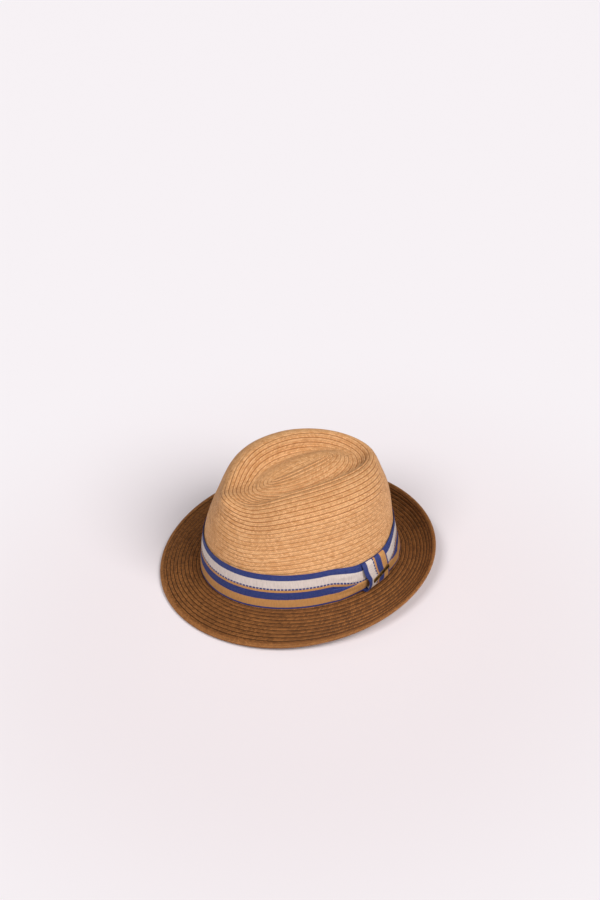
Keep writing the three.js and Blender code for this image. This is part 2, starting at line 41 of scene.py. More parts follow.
# ---------------------------------------------------------------- dimensions
# millimetres, in the hat's headline frame: z = 0 at the joint of crown and
# brim, front -Y, wearer's left +X. Position angle a: x = W sin a, y = -L cos a.
HEAD_B, HEAD_A, HEAD_SADDLE = 85.5, 102.5, 1.0
BRAID_T = 1.3
CROWN = np.array([  # w, f, b, zf, zs, zb, pinch, lift
    (83.9, 100.9, 100.9, -1.0, 1.0, -1.0, 0.00, 0.00),
    (80.7, 97.3, 93.0, 36.2, 38.2, 36.2, 0.00, 0.00),
    (73.8, 91.2, 88.5, 70.2, 75.4, 70.8, 0.40, 0.50),
    (68.2, 87.8, 81.6, 87.2, 98.3, 89.6, 1.00, 1.00),
    (40.8, 78.0, 71.6, 98.6, 111.4, 104.0, 0.60, 1.00),
    (36.8, 68.6, 66.3, 96.3, 106.2, 101.4, 0.40, 0.75),
    (33.2, 60.0, 60.2, 94.0, 100.4, 99.8, 0.20, 0.40),
    (26.5, 52.0, 52.0, 92.6, 98.5, 101.6, 0.10, 0.15),
    (18.4, 43.9, 42.8, 94.8, 102.1, 105.4, 0.00, 0.00),
    (9.2, 35.2, 32.6, 97.4, 105.1, 108.6, 0.00, 0.00),
])
TIP_FRONT, TIP_BACK, TIP_ZF, TIP_ZB = 28.0, 24.0, 98.9, 109.6
PINCH_ANGLE, PINCH_SPREAD, PINCH_DEPTH, PINCH_DROP = 31.0, 26.0, 5.5, 8.0
TILT = -3.2147 * RAD
SHIFT = (0.0, 3.4345, 9.7195)

CROWN_ROWS = 38
CROWN_SPLIT = 19
BRIM_ROWS = 11
BRIM_TOP = -0.25
EDGE_W = 4.3
RIBBON_H = 38.0
KEEPER_ANGLE = 115.0 * RAD
KEEPER_W = 36.0
LOOP_W = 33.5
FOLD_LENGTH = 60.0


def place(p):
    """headline frame, millimetres -> row frame, metres"""
    p = np.asarray(p, float)
    c, s = math.cos(TILT), math.sin(TILT)
    return np.stack([
        p[..., 0] + SHIFT[0],
        p[..., 1] * c - p[..., 2] * s + SHIFT[1],
        p[..., 1] * s + p[..., 2] * c + SHIFT[2],
    ], -1) / 1000.0


def turn(v):
    c, s = math.cos(TILT), math.sin(TILT)
    return Vector((v[0], v[1] * c - v[2] * s, v[1] * s + v[2] * c))


def unit(v):
    return v / (np.linalg.norm(v, axis=-1, keepdims=True) + 1e-12)


def smooth(t):
    t = np.clip(t, 0, 1)
    return t * t * (3 - 2 * t)


# ------------------------------------------------------------- crown surface
def spline_weights(t, x):
    """natural cubic spline through knots t, at x, as weights on the knots"""
    n, h = len(t), np.diff(t)
    a, b = np.eye(n), np.zeros((n, n))
    for i in range(1, n - 1):
        a[i, i - 1], a[i, i], a[i, i + 1] = h[i - 1], 2 * (h[i - 1] + h[i]), h[i]
        b[i, i - 1], b[i, i], b[i, i + 1] = 6 / h[i - 1], -6 / h[i - 1] - 6 / h[i], 6 / h[i]
    m = np.linalg.solve(a, b)
    i = np.clip(np.searchsorted(t, x) - 1, 0, n - 2)
    hh = h[i]
    u, v = (t[i + 1] - x) / hh, (x - t[i]) / hh
    w, r = np.zeros((len(x), n)), np.arange(len(x))
    w[r, i] += u
    w[r, i + 1] += v
    return w + ((u**3 - u) * hh * hh / 6)[:, None] * m[i] + ((v**3 - v) * hh * hh / 6)[:, None] * m[i + 1]


def stations(al):
    s, c = np.sin(al), np.cos(al)
    off = np.hypot(np.mod(al + math.pi, TAU) - math.pi, 5 * RAD)
    pin = np.exp(-(((off - PINCH_ANGLE * RAD) / (PINCH_SPREAD * RAD)) ** 2))
    out = []
    for w, f, b, zf, zs, zb, pinch, lift in CROWN:
        x, y = w * s, -np.where(c > 0, f, b) * c
        r = np.hypot(x, y)
        k = (r - PINCH_DEPTH * pinch * pin) / r
        m0, m1, m2 = ((zf + zb) / 2 + zs) / 2, (zf - zb) / 2, ((zf + zb) / 2 - zs) / 2
        out.append(np.stack([x * k, y * k, m0 + m1 * c + m2 * np.cos(2 * al) - PINCH_DROP * lift * pin], -1))
    ty = (TIP_BACK - TIP_FRONT) / 2 - (TIP_FRONT + TIP_BACK) / 2 * c
    out.append(np.stack([0 * c, ty, (TIP_ZF + TIP_ZB) / 2 + (TIP_ZF - TIP_ZB) / 2 * c], -1))
    return np.array(out)


_s0 = stations(np.arange(180) * TAU / 180)
KNOTS = np.concatenate([[0], np.cumsum(np.linalg.norm(np.diff(_s0, axis=0), axis=2).mean(1))])
DENSE = 700
WEIGHTS = spline_weights(KNOTS, np.linspace(0, KNOTS[-1], DENSE))


class Lines:
    """the crown's meridians at the angles al"""

    def __init__(self, al):
        self.al = np.asarray(al, float)
        self.g = np.einsum("ns,sac->nac", WEIGHTS, stations(self.al))
        d = np.linalg.norm(np.diff(self.g, axis=0), axis=2)
        acc = np.concatenate([np.zeros((1, len(self.al))), np.cumsum(d, 0)])
        self.length = acc[-1]
        self.frac = acc / acc[-1]

    def at(self, u):
        """u: (m, na) or (m,) share of the meridian -> points (m, na, 3)"""
        u = np.asarray(u, float)
        if u.ndim == 1:
            u = np.repeat(u[:, None], len(self.al), 1)
        out = np.empty(u.shape + (3,))
        for j in range(len(self.al)):
            for c in range(3):
                out[:, j, c] = np.interp(u[:, j], self.frac[:, j], self.g[:, j, c])
        return out

    def share(self, h):
        """height above the headline -> share of the meridian, on the wall"""
        h = np.asarray(h, float)
        if h.ndim == 1:
            h = np.repeat(h[:, None], len(self.al), 1)
        n = int(DENSE * 0.5)
        out = np.empty(h.shape)
        for j in range(len(self.al)):
            out[:, j] = np.interp(h[:, j], self.g[:n, j, 2] - self.g[0, j, 2], self.frac[:n, j])
        return out


def crown_frame(al, u):
    """points and outward normals"""
    base = Lines(al)
    u = np.asarray(u, float)
    if u.ndim == 1:
        u = np.repeat(u[:, None], len(al), 1)
    p = base.at(u)
    uc = np.clip(u, 0.004, 0.985)
    da = Lines(al + 0.006).at(uc) - Lines(al - 0.006).at(uc)
    du = base.at(uc + 0.003) - base.at(uc - 0.003)
    n = unit(np.cross(da, du))
    k = np.clip((u - 0.985) / 0.015, 0, 1)
    n[..., 0] *= 1 - k
    return p, unit(n)


def wall(al, h, d):
    """crown wall at height h above the headline, pushed out by d"""
    lines = Lines(al)
    h = np.asarray(h, float)
    if h.ndim == 1:
        h = np.repeat(h[:, None], len(al), 1)
    p, n = crown_frame(al, lines.share(np.maximum(h, 0)))
    p = p.copy()
    p[..., 2] += np.minimum(h, 0)
    d = np.asarray(d, float)
    if d.ndim == 1:
        d = d[:, None]
    return p + n * (d[..., None] if d.ndim else d)


# -------------------------------------------------------------- brim surface
def brim_arc(al):
    c1, c2, c3 = np.cos(al), np.cos(2 * al), np.cos(3 * al)
    w = 41.1 + 4.6 * c1 - 6.7 * c2
    h = 1.25 - 16.35 * c1 - 1.54 * c2 + 0.64 * c3 + HEAD_SADDLE * c2
    half = 0.25 - 0.55 * c1
    half = np.where(np.abs(half) < 1e-3, 1e-3, half)
    chord, lean = np.hypot(w, h), np.arctan2(h, w)
    r = chord / (2 * np.sin(half))
    n = unit(np.stack([np.sin(al) / HEAD_B, -np.cos(al) / HEAD_A], -1))
    return dict(th0=lean - half, r=r, arc=2 * half * r, n=n,
                x0=HEAD_B * np.sin(al), y0=-HEAD_A * np.cos(al), z0=-HEAD_SADDLE * c2)


def brim(al, s, d):
    """s, d: (m, na) millimetres from the headline and above the middle face"""
    b = brim_arc(al)
    s, d = np.asarray(s, float), np.asarray(d, float)
    if s.ndim == 1:
        s = np.repeat(s[:, None], len(al), 1)
    if d.ndim == 1:
        d = d[:, None]
    d = d * np.ones_like(s)
    th = b["th0"] + np.maximum(s, 0) / b["r"]
    r = b["r"] * (np.sin(th) - np.sin(b["th0"])) + np.minimum(s, 0)
    z = -b["r"] * (np.cos(th) - np.cos(b["th0"]))
    k = smooth((s + 1.0) / 3.0)
    nx, nz = -np.sin(th) * k, np.cos(th) * k + (1 - k)
    r, z = r + d * nx, z + d * nz
    return np.stack([b["x0"] + b["n"][:, 0] * r, b["y0"] + b["n"][:, 1] * r, b["z0"] + z], -1)


# -------------------------------------------------------------- mesh helpers
def noise_wave(x, seed, n=6, low=1.0, high=6.0):
    """smooth repeating wobble of x in turns, about -1 to 1"""
    rng = np.random.default_rng(seed)
    out = 0 * x
    for _ in range(n):
        k = rng.integers(int(low), int(high) + 1)
        out = out + rng.uniform(0.4, 1) * np.sin(TAU * k * x + rng.uniform(0, TAU))
    return out / (0.6 * n)


def build(name, verts, faces, corner=None, weld=None, sharp=50.0, collection=None):
    """verts (n, 3) in metres; faces: list of (k, 3 or 4) arrays or of index lists;
    corner: the same layout, one 3-vector for each corner"""
    me = bpy.data.meshes.new(name)
    loops, starts, data, at = [], [], [], 0
    for q, c in zip(faces, corner if corner is not None else [None] * len(faces)):
        q = np.asarray(q)
        if q.ndim == 1:
            q = q[None]
        loops.append(q.reshape(-1))
        starts.append(at + np.arange(len(q)) * q.shape[1])
        at += q.size
        if corner is not None:
            data.append(np.asarray(c, np.float32).reshape(-1, 3))
    loops, starts = np.concatenate(loops).astype(np.int32), np.concatenate(starts).astype(np.int32)
    me.vertices.add(len(verts))
    me.vertices.foreach_set("co", np.asarray(verts, np.float32).reshape(-1))
    me.loops.add(len(loops))
    me.loops.foreach_set("vertex_index", loops)
    me.polygons.add(len(starts))
    me.polygons.foreach_set("loop_start", starts)
    me.polygons.foreach_set("use_smooth", np.ones(len(starts), bool))
    if corner is not None:
        at = me.attributes.new("w", "FLOAT_VECTOR", "CORNER")
        at.data.foreach_set("vector", np.concatenate(data).reshape(-1))
    me.update(calc_edges=True)
    if weld:
        bm = bmesh.new()
        bm.from_mesh(me)
        bmesh.ops.remove_doubles(bm, verts=bm.verts, dist=weld)
        bmesh.ops.dissolve_degenerate(bm, edges=bm.edges, dist=weld * 0.5)
        bm.to_mesh(me)
        bm.free()
    me.validate()
    bm = bmesh.new()
    bm.from_mesh(me)
    bmesh.ops.recalc_face_normals(bm, faces=bm.faces)
    bm.to_mesh(me)
    bm.free()
    if sharp:
        me.set_sharp_from_angle(angle=sharp * RAD)
    ob = bpy.data.objects.new(name, me)
    bpy.context.scene.collection.objects.link(ob)
    return ob


def grid_quads(rows, cols, base=0, wrap=False):
    """vertex (r, c) has number base + r * cols + c"""
    c = np.arange(cols if wrap else cols - 1)
    r = np.arange(rows - 1)
    r, c = np.meshgrid(r, c, indexing="ij")
    c1 = (c + 1) % cols
    return np.stack([base + r * cols + c, base + r * cols + c1, base + (r + 1) * cols + c1, base + (r + 1) * cols + c], -1).reshape(-1, 4)


def finish_piece(ob, material, nodes=()):
    ob.data.materials.clear()
    ob.data.materials.append(material)
    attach(ob, "root")
    if nodes:
        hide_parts(*nodes)
    return ob


def slab(name, front, thick, w, wrap=False, sharp=55.0, inward=True, round_edge=True):
    """closed sheet: front (m, n, 3) in millimetres, its outer face; thick in
    millimetres behind it. w (m, n, 3) for the shader. wrap joins the last
    column to the first."""
    m, n = front.shape[:2]
    if wrap:
        dn = np.roll(front, -1, 1) - np.roll(front, 1, 1)
    else:
        dn = np.gradient(front, axis=1)
    dm = np.gradient(front, axis=0)
    nor = unit(np.cross(dn, dm))
    if not inward:
        nor = -nor
    back = front - nor * thick
    if round_edge:
        mid = front - nor * thick * 0.5
        out = unit(mid[0] - mid[1]) * thick * 0.35
        lo = unit(mid[-1] - mid[-2]) * thick * 0.35
        rows = [front, mid[-1:] + lo[None], back[::-1], mid[:1] + out[None]]
        ws = [w, w[-1:], w[::-1], w[:1]]
    else:
        rows, ws = [front, back[::-1]], [w, w[::-1]]
    v, ww = np.concatenate(rows, 0), np.concatenate(ws, 0)
    M = v.shape[0]
    r = np.arange(M)
    c = np.arange(n if wrap else n - 1)
    r, c = np.meshgrid(r, c, indexing="ij")
    r1, c1 = (r + 1) % M, (c + 1) % n
    q = np.stack([r * n + c, r * n + c1, r1 * n + c1, r1 * n + c], -1).reshape(-1, 4)
    flat = ww.reshape(-1, 3)
    cor = flat[q]
    if wrap:  # the along coordinate runs on over the join
        last = (c == n - 1).reshape(-1)
        span = ww[0, -1, 0] - ww[0, 0, 0]
        step = span / (n - 1)
        for k in (1, 2):
            cor[last, k, 0] = cor[last, k - 1 if k == 1 else 3, 0] + step
    faces, corners = [q], [cor]
    if not wrap:
        for col in (0, n - 1):
            ring = [int(i * n + col) for i in range(M)]
            # ladder of quads across the end, front row k to back row k
            fr = ring[: m]
            bk = ring[m + (1 if round_edge else 0): m + (1 if round_edge else 0) + m][::-1]
            for k in range(m - 1):
                faces.append([fr[k], fr[k + 1], bk[k + 1], bk[k]])
                corners.append(flat[[fr[k], fr[k + 1], bk[k + 1], bk[k]]])
            if round_edge:
                e1, e2 = ring[m], ring[-1]
                faces.append([fr[-1], e1, bk[-1]])
                corners.append(flat[[fr[-1], e1, bk[-1]]])
                faces.append([fr[0], bk[0], e2])
                corners.append(flat[[fr[0], bk[0], e2]])
    return build(name, place(v).reshape(-1, 3), faces, corners, sharp=sharp)


def stitches(name, pts, nrm, length, gap, radius, lift, start=0.0, segs=5, sides=5, slant=0.0):
    """a row of thread stitches along the line pts (k, 3) mm with normals nrm;
    each stitch is a small arched thread"""
    d = np.concatenate([[0], np.cumsum(np.linalg.norm(np.diff(pts, axis=0), axis=1))])
    total, V, F, C = d[-1], [], [], []
    x, k = start, 0
    sample = lambda s: np.array([np.interp(s, d, pts[:, c]) for c in range(3)]).T
    samplen = lambda s: unit(np.array([np.interp(s, d, nrm[:, c]) for c in range(3)]).T)
    base = 0
    while x + length < total:
        t = np.linspace(0, 1, segs)
        s = x + t * length
        p, n = sample(s), samplen(s)
        tan = unit(np.gradient(p, axis=0))
        side = unit(np.cross(tan, n))
        p = p + n * (lift * np.sin(np.pi * t) ** 0.6 - 0.5 * radius)[:, None] + side * (slant * (t - 0.5))[:, None]
        rad = radius * (0.35 + 0.65 * np.sin(np.pi * np.clip(t, 0.04, 0.96)) ** 0.5)
        a = np.arange(sides) * TAU / sides
        ring = p[:, None] + rad[:, None, None] * (np.cos(a)[None, :, None] * side[:, None] + np.sin(a)[None, :, None] * n[:, None])
        V.append(ring.reshape(-1, 3))
        for i in range(segs - 1):
            for j in range(sides):
                q = [base + i * sides + j, base + i * sides + (j + 1) % sides, base + (i + 1) * sides + (j + 1) % sides, base + (i + 1) * sides + j]
                F.append(q)
                C.append([(t[i] * length, j / sides, k), (t[i] * length, (j + 1) / sides, k), (t[i + 1] * length, (j + 1) / sides, k), (t[i + 1] * length, j / sides, k)])
        for i in (0, segs - 1):
            F.append([base + i * sides + j for j in range(sides)])
            C.append([(t[i] * length, 0, k)] * sides)
        base += segs * sides
        x += length + gap
        k += 1
    quads = np.array([f for f in F if len(f) == 4])
    qc = np.array([c for f, c in zip(F, C) if len(f) == 4])
    caps = np.array([f for f in F if len(f) != 4])
    cc = np.array([c for f, c in zip(F, C) if len(f) != 4])
    return build(name, place(np.concatenate(V)), [quads, caps], [qc, cc], sharp=60)


# ------------------------------------------------------------ material tools
class Shader:
    def __init__(self, name, **values):
        self.m = bpy.data.materials.new(name)
        self.m.use_nodes = True
        self.nt = self.m.node_tree
        self.nt.nodes.clear()
        self.out = self.nt.nodes.new("ShaderNodeOutputMaterial")
        self.b = self.nt.nodes.new("ShaderNodeBsdfPrincipled")
        self.nt.links.new(self.b.outputs[0], self.out.inputs[0])
        for k, v in values.items():
            self.b.inputs[k.replace("_", " ")].default_value = v
        at = self.nt.nodes.new("ShaderNodeAttribute")
        at.attribute_name = "w"
        sep = self.nt.nodes.new("ShaderNodeSeparateXYZ")
        self.nt.links.new(at.outputs["Vector"], sep.inputs[0])
        self.x, self.y, self.z = sep.outputs

    def put(self, socket, value):
        if isinstance(value, bpy.types.NodeSocket):
            self.nt.links.new(value, socket)
        elif isinstance(value, (tuple, list)):
            v = tuple(value)
            if socket.type == "RGBA" and len(v) == 3:
                v += (1.0,)
            socket.default_value = v
        else:
            socket.default_value = value

    def f(self, op, *args, clamp=False):
        n = self.nt.nodes.new("ShaderNodeMath")
        n.operation = op
        n.use_clamp = clamp
        for s, v in zip(n.inputs, args):
            self.put(s, v)
        return n.outputs[0]

    def mix(self, fac, a, b, blend="MIX"):
        n = self.nt.nodes.new("ShaderNodeMix")
        n.data_type = "RGBA"
        n.blend_type = blend
        n.clamp_factor = True
        self.put(n.inputs[0], fac)
        self.put(n.inputs[6], a)
        self.put(n.inputs[7], b)
        return n.outputs[2]

    def lerp(self, fac, a, b):
        n = self.nt.nodes.new("ShaderNodeMix")
        n.data_type = "FLOAT"
        self.put(n.inputs[0], fac)
        self.put(n.inputs[2], a)
        self.put(n.inputs[3], b)
        return n.outputs[0]

    def vec(self, x, y=0.0, z=0.0):
        n = self.nt.nodes.new("ShaderNodeCombineXYZ")
        for s, v in zip(n.inputs, (x, y, z)):
            self.put(s, v)
        return n.outputs[0]

    def white(self, x, y=0.0, z=0.0):
        n = self.nt.nodes.new("ShaderNodeTexWhiteNoise")
        n.noise_dimensions = "3D"
        self.put(n.inputs["Vector"], self.vec(x, y, z))
        return n.outputs["Value"]

    def noise(self, vector, scale, detail=2.0, rough=0.5):
        n = self.nt.nodes.new("ShaderNodeTexNoise")
        n.inputs["Scale"].default_value = scale
        n.inputs["Detail"].default_value = detail
        n.inputs["Roughness"].default_value = rough
        if vector is not None:
            self.put(n.inputs["Vector"], vector)
        return n.outputs["Fac"]

    def voronoi(self, vector, scale):
        n = self.nt.nodes.new("ShaderNodeTexVoronoi")
        n.inputs["Scale"].default_value = scale
        self.put(n.inputs["Vector"], vector)
        return n.outputs["Distance"]

    def place(self):
        n = self.nt.nodes.new("ShaderNodeTexCoord")
        return n.outputs["Object"]

    def step(self, value, lo, hi, to_lo=0.0, to_hi=1.0):
        n = self.nt.nodes.new("ShaderNodeMapRange")
        n.interpolation_type = "SMOOTHSTEP"
        self.put(n.inputs[0], value)
        self.put(n.inputs[1], lo)
        self.put(n.inputs[2], hi)
        self.put(n.inputs[3], to_lo)
        self.put(n.inputs[4], to_hi)
        return n.outputs[0]

    def bump(self, height, distance, strength=1.0, normal=None):
        n = self.nt.nodes.new("ShaderNodeBump")
        n.inputs["Strength"].default_value = strength
        n.inputs["Distance"].default_value = distance
        self.put(n.inputs["Height"], height)
        if normal is not None:
            self.put(n.inputs["Normal"], normal)
        self.put(self.b.inputs["Normal"], n.outputs[0])
        return n.outputs[0]

    def set(self, **sockets):
        for k, v in sockets.items():
            self.put(self.b.inputs[k.replace("_", " ")], v)


def srgb(r, g, b, k=1.0):
    out = []
    for v in (r, g, b):
        v /= 255
        out.append(k * (v / 12.92 if v <= 0.04045 else ((v + 0.055) / 1.055) ** 2.4))
    return tuple(out)


def braid_material(name, light, mid, dark, foot=None, foot_row=3.0, out_first=True, pitch=2.3, row_shadow=0.5, rough=0.62, calm=None):
    """plaited paper straw: w.x runs along the row in mm, w.y counts the rows,
    w.z is a row's width in mm; painted shade in the strand gaps, along the crossing line and under each row's
    overlapping edge"""
    s = Shader(name, Specular_IOR_Level=0.22, Sheen_Weight=0.02, Sheen_Roughness=0.5)
    p, row = s.f("FRACT", s.y), s.f("FLOOR", s.y)
    off = s.f("SUBTRACT", p, 0.5)
    half = s.f("GREATER_THAN", off, 0.0)
    c = s.f("MULTIPLY", s.f("ABSOLUTE", off), 2.0)
    shift = s.white(row, 3.0)
    # chevron strands of the plait, the two halves half a strand apart
    t = s.f("ADD", s.f("DIVIDE", s.x, pitch), s.f("MULTIPLY", c, 1.05))
    t = s.f("ADD", t, s.f("MULTIPLY", half, 0.5))
    t = s.f("ADD", t, shift)
    k, f = s.f("FLOOR", t), s.f("FRACT", t)
    strand = s.f("POWER", s.f("MULTIPLY", s.f("MULTIPLY", f, s.f("SUBTRACT", 1.0, f)), 4.0), 0.55)
    tone = s.white(k, row, half)
    fibre = s.noise(s.vec(s.f("MULTIPLY", f, 6.0), s.f("MULTIPLY", c, 1.4), s.f("ADD", k, s.f("MULTIPLY", row, 7.3))), 1.6, 2.0, 0.6)
    patch = s.noise(s.place(), 22.0, 2.0, 0.5)
    rowtone = s.white(row, 11.0)
    tone = s.f("ADD", s.f("MULTIPLY", tone, 0.55), s.f("ADD", s.f("MULTIPLY", fibre, 0.55), s.f("MULTIPLY", rowtone, 0.12)))
    col = s.mix(s.step(tone, 0.25, 0.95), mid, light)
    col = s.mix(s.step(patch, 0.35, 0.75, 0.0, 0.35), col, mid)
    # painted shade: the gaps between the plait's strands are darkened toward the dark colour
    gap = s.step(strand, 0.25, 0.85, 1.0, 0.0)
    col = s.mix(s.f("MULTIPLY", gap, 0.68), col, dark)
    speck = s.white(k, row, s.f("ADD", half, 5.0))
    col = s.mix(s.step(speck, 0.80, 0.95, 0.0, 0.22), col, dark)
    # painted shade along the crossing line in the middle of the plait, and a painted shadow under the overlapping
    # edge of each row, row_shadow its strength
    col = s.mix(s.step(c, 0.0, 0.16, 0.3, 0.0), col, dark)
    side = p if out_first else s.f("SUBTRACT", 1.0, p)
    edge = s.f("MAXIMUM", s.step(side, 0.80, 0.92), s.step(side, 0.0, 0.05, 1.0, 0.0))
    # calm sets the painted row shadow to calm[2] from row calm[1] on, easing in from row calm[0]
    if calm is not None:
        row_shadow = s.step(s.y, calm[0], calm[1], row_shadow, calm[2])
    col = s.mix(s.f("MULTIPLY", edge, row_shadow), col, dark)
    # machine stitches near the lower edge of each row
    q = s.f("ABSOLUTE", s.f("SUBTRACT", p, 0.2 if out_first else 0.8))
    on = s.f("LESS_THAN", s.f("FRACT", s.f("ADD", s.f("DIVIDE", s.x, 3.4), shift)), 0.72)
    thread = s.f("MULTIPLY", s.step(q, 0.03, 0.055, 1.0, 0.0), on)
    col = s.mix(s.f("MULTIPLY", thread, 0.45), col, light)
    if foot is not None:
        low = s.f("LESS_THAN", s.y, foot_row)
        col = s.mix(low, col, foot)
    h = s.f("ADD", s.f("MULTIPLY", strand, 0.7), s.f("MULTIPLY", fibre, 0.35))
    h = s.f("SUBTRACT", h, s.step(c, 0.0, 0.14, 0.35, 0.0))
    h = s.f("ADD", h, s.f("MULTIPLY", thread, 0.5))
    s.set(Base_Color=col, Roughness=s.step(fibre, 0.2, 0.8, rough - 0.1, rough + 0.12))
    s.bump(h, 0.00028)
    return s.m


NAVY, CREAM, TAN = srgb(40, 56, 122), srgb(225, 211, 203), srgb(204, 147, 85)


def ribbon_material(name, across="y"):
    """grosgrain: w.x along the ribbon in mm, w.y share of its width"""
    s = Shader(name, Specular_IOR_Level=0.2, Sheen_Weight=0.03, Sheen_Roughness=0.45)
    along, f = s.x, s.y
    # cross ribs, the warp hardly seen between them
    rib = s.f("FRACT", s.f("DIVIDE", along, 0.85))
    ribh = s.f("POWER", s.f("MULTIPLY", s.f("MULTIPLY", rib, s.f("SUBTRACT", 1.0, rib)), 4.0), 0.6)
    warp = s.f("FRACT", s.f("MULTIPLY", f, 38.0 / 0.42))
    warph = s.f("MULTIPLY", s.f("MULTIPLY", warp, s.f("SUBTRACT", 1.0, warp)), 4.0)
    ramp = s.nt.nodes.new("ShaderNodeValToRGB")
    ramp.color_ramp.interpolation = "CONSTANT"
    stops = [(0.0, NAVY), (0.15, CREAM), (0.386, NAVY), (0.432, TAN), (0.50, NAVY), (0.716, TAN), (0.95, NAVY)]
    e = ramp.color_ramp.elements
    e[0].position, e[0].color = stops[0][0], stops[0][1] + (1.0,)
    e[1].position, e[1].color = stops[1][0], stops[1][1] + (1.0,)
    for pos, colr in stops[2:]:
        n = e.new(pos)
        n.color = colr + (1.0,)
    wob = s.f("MULTIPLY", s.f("SUBTRACT", s.white(s.f("FLOOR", s.f("DIVIDE", along, 0.85)), 2.0), 0.5), 0.004)
    s.put(ramp.inputs[0], s.f("ADD", f, wob))
    col = ramp.outputs[0]
    dash = s.f("MULTIPLY", s.f("GREATER_THAN", f, 0.386), s.f("LESS_THAN", f, 0.432))
    dash = s.f("MULTIPLY", dash, s.f("LESS_THAN", s.f("FRACT", s.f("DIVIDE", along, 3.4)), 0.24))
    col = s.mix(dash, col, CREAM)
    tone = s.noise(s.vec(s.f("MULTIPLY", along, 0.9), s.f("MULTIPLY", f, 5.0)), 1.0, 3.0, 0.6)
    col = s.mix(s.step(tone, 0.3, 0.8, 0.0, 0.22), col, (0.0, 0.0, 0.0))
    yarn = s.white(s.f("FLOOR", s.f("DIVIDE", along, 0.85)), s.f("FLOOR", s.f("MULTIPLY", f, 90.0)))
    col = s.mix(s.f("MULTIPLY", yarn, 0.03), col, (1.0, 1.0, 1.0))
    # painted shade in the grooves between the cross ribs
    col = s.mix(s.step(ribh, 0.2, 0.7, 0.30, 0.0), col, (0.0, 0.0, 0.0))
    selv = s.step(s.f("ABSOLUTE", s.f("SUBTRACT", f, 0.5)), 0.480, 0.495)
    h = s.f("ADD", s.f("MULTIPLY", ribh, 0.8), s.f("MULTIPLY", warph, 0.2))
    h = s.f("ADD", h, s.f("MULTIPLY", selv, 0.5))
    s.set(Base_Color=col, Roughness=s.step(ribh, 0.0, 1.0, 0.72, 0.52))
    s.bump(h, 0.00016)
    return s.m


def cloth_material(name, a, b, pitch=0.9, slope=1.0, distance=0.00012, rough=0.8, sheen=0.15, ribs=False):
    """twill or plain label cloth: w.x, w.y in mm"""
    s = Shader(name, Specular_IOR_Level=0.25, Sheen_Weight=sheen, Sheen_Roughness=0.6)
    d = s.f("ADD", s.x, s.f("MULTIPLY", s.y, slope))
    t = s.f("FRACT", s.f("DIVIDE", d, pitch))
    line = s.f("POWER", s.f("MULTIPLY", s.f("MULTIPLY", t, s.f("SUBTRACT", 1.0, t)), 4.0), 0.7)
    yarn = s.f("FRACT", s.f("DIVIDE", s.x if not ribs else s.y, pitch * 0.5))
    yl = s.f("MULTIPLY", s.f("MULTIPLY", yarn, s.f("SUBTRACT", 1.0, yarn)), 4.0)
    n = s.noise(s.place(), 90.0, 3.0, 0.6)
    fine = s.noise(s.place(), 1400.0, 2.0, 0.6)
    col = s.mix(s.step(n, 0.3, 0.75), a, b)
    # painted shade in the grooves of the twill lines
    col = s.mix(s.step(line, 0.1, 0.6, 0.28, 0.0), col, (0.05, 0.04, 0.03))
    col = s.mix(s.f("MULTIPLY", fine, 0.12), col, (1.0, 1.0, 1.0))
    h = s.f("ADD", s.f("MULTIPLY", line, 0.7), s.f("MULTIPLY", yl, 0.25))
    h = s.f("ADD", h, s.f("MULTIPLY", fine, 0.2))
    s.set(Base_Color=col, Roughness=s.step(fine, 0.2, 0.8, rough - 0.08, rough + 0.08))
    s.bump(h, distance)
    return s.m


def thread_material(name, a, b):
    s = Shader(name, Specular_IOR_Level=0.4, Sheen_Weight=0.1, Sheen_Roughness=0.4)
    t = s.f("FRACT", s.f("ADD", s.f("DIVIDE", s.x, 0.7), s.y))
    ply = s.f("MULTIPLY", s.f("MULTIPLY", t, s.f("SUBTRACT", 1.0, t)), 4.0)
    n = s.noise(s.place(), 900.0, 2.0, 0.5)
    col = s.mix(s.step(n, 0.3, 0.7), a, b)
    # painted shade in the grooves between the thread's plies
    col = s.mix(s.step(ply, 0.1, 0.6, 0.5, 0.0), col, (0.0, 0.0, 0.0))
    s.set(Base_Color=col, Roughness=s.step(n, 0.2, 0.8, 0.5, 0.65))
    s.bump(ply, 0.00008)
    return s.m


def metal_material(name, dark, bright, rough=0.42, scratch=700.0, wear=0.5, dist=0.00004):
    s = Shader(name, Metallic=1.0)
    n = s.noise(s.place(), 260.0, 4.0, 0.6)
    fine = s.noise(s.place(), scratch * 4, 2.0, 0.6)
    geo = s.nt.nodes.new("ShaderNodeNewGeometry")
    edge = s.step(geo.outputs["Pointiness"], 0.50, 0.56)
    amount = s.f("MULTIPLY", s.step(n, 0.42, 0.72), wear)
    amount = s.f("MAXIMUM", amount, s.f("MULTIPLY", edge, 0.8))
    col = s.mix(amount, dark, bright)
    r = s.step(s.f("ADD", s.f("MULTIPLY", n, 0.5), s.f("MULTIPLY", fine, 0.5)), 0.25, 0.75, rough + 0.14, rough - 0.1)
    s.set(Base_Color=col, Roughness=r)
    s.bump(s.f("ADD", s.f("MULTIPLY", n, 0.6), s.f("MULTIPLY", fine, 0.4)), dist)
    return s.m


# the third colour of each braid carries its painted shade and its random dark flecks; row_shadow sets the painted
# shadow under the row edges
TAN_LIGHT, TAN_MID, TAN_SHADE_AND_FLECK = srgb(239, 187, 134), srgb(212, 154, 99), srgb(142, 84, 39)
BROWN_LIGHT, BROWN_MID, BROWN_SHADE_AND_FLECK = srgb(160, 103, 53), srgb(113, 68, 29), srgb(24, 12, 4)

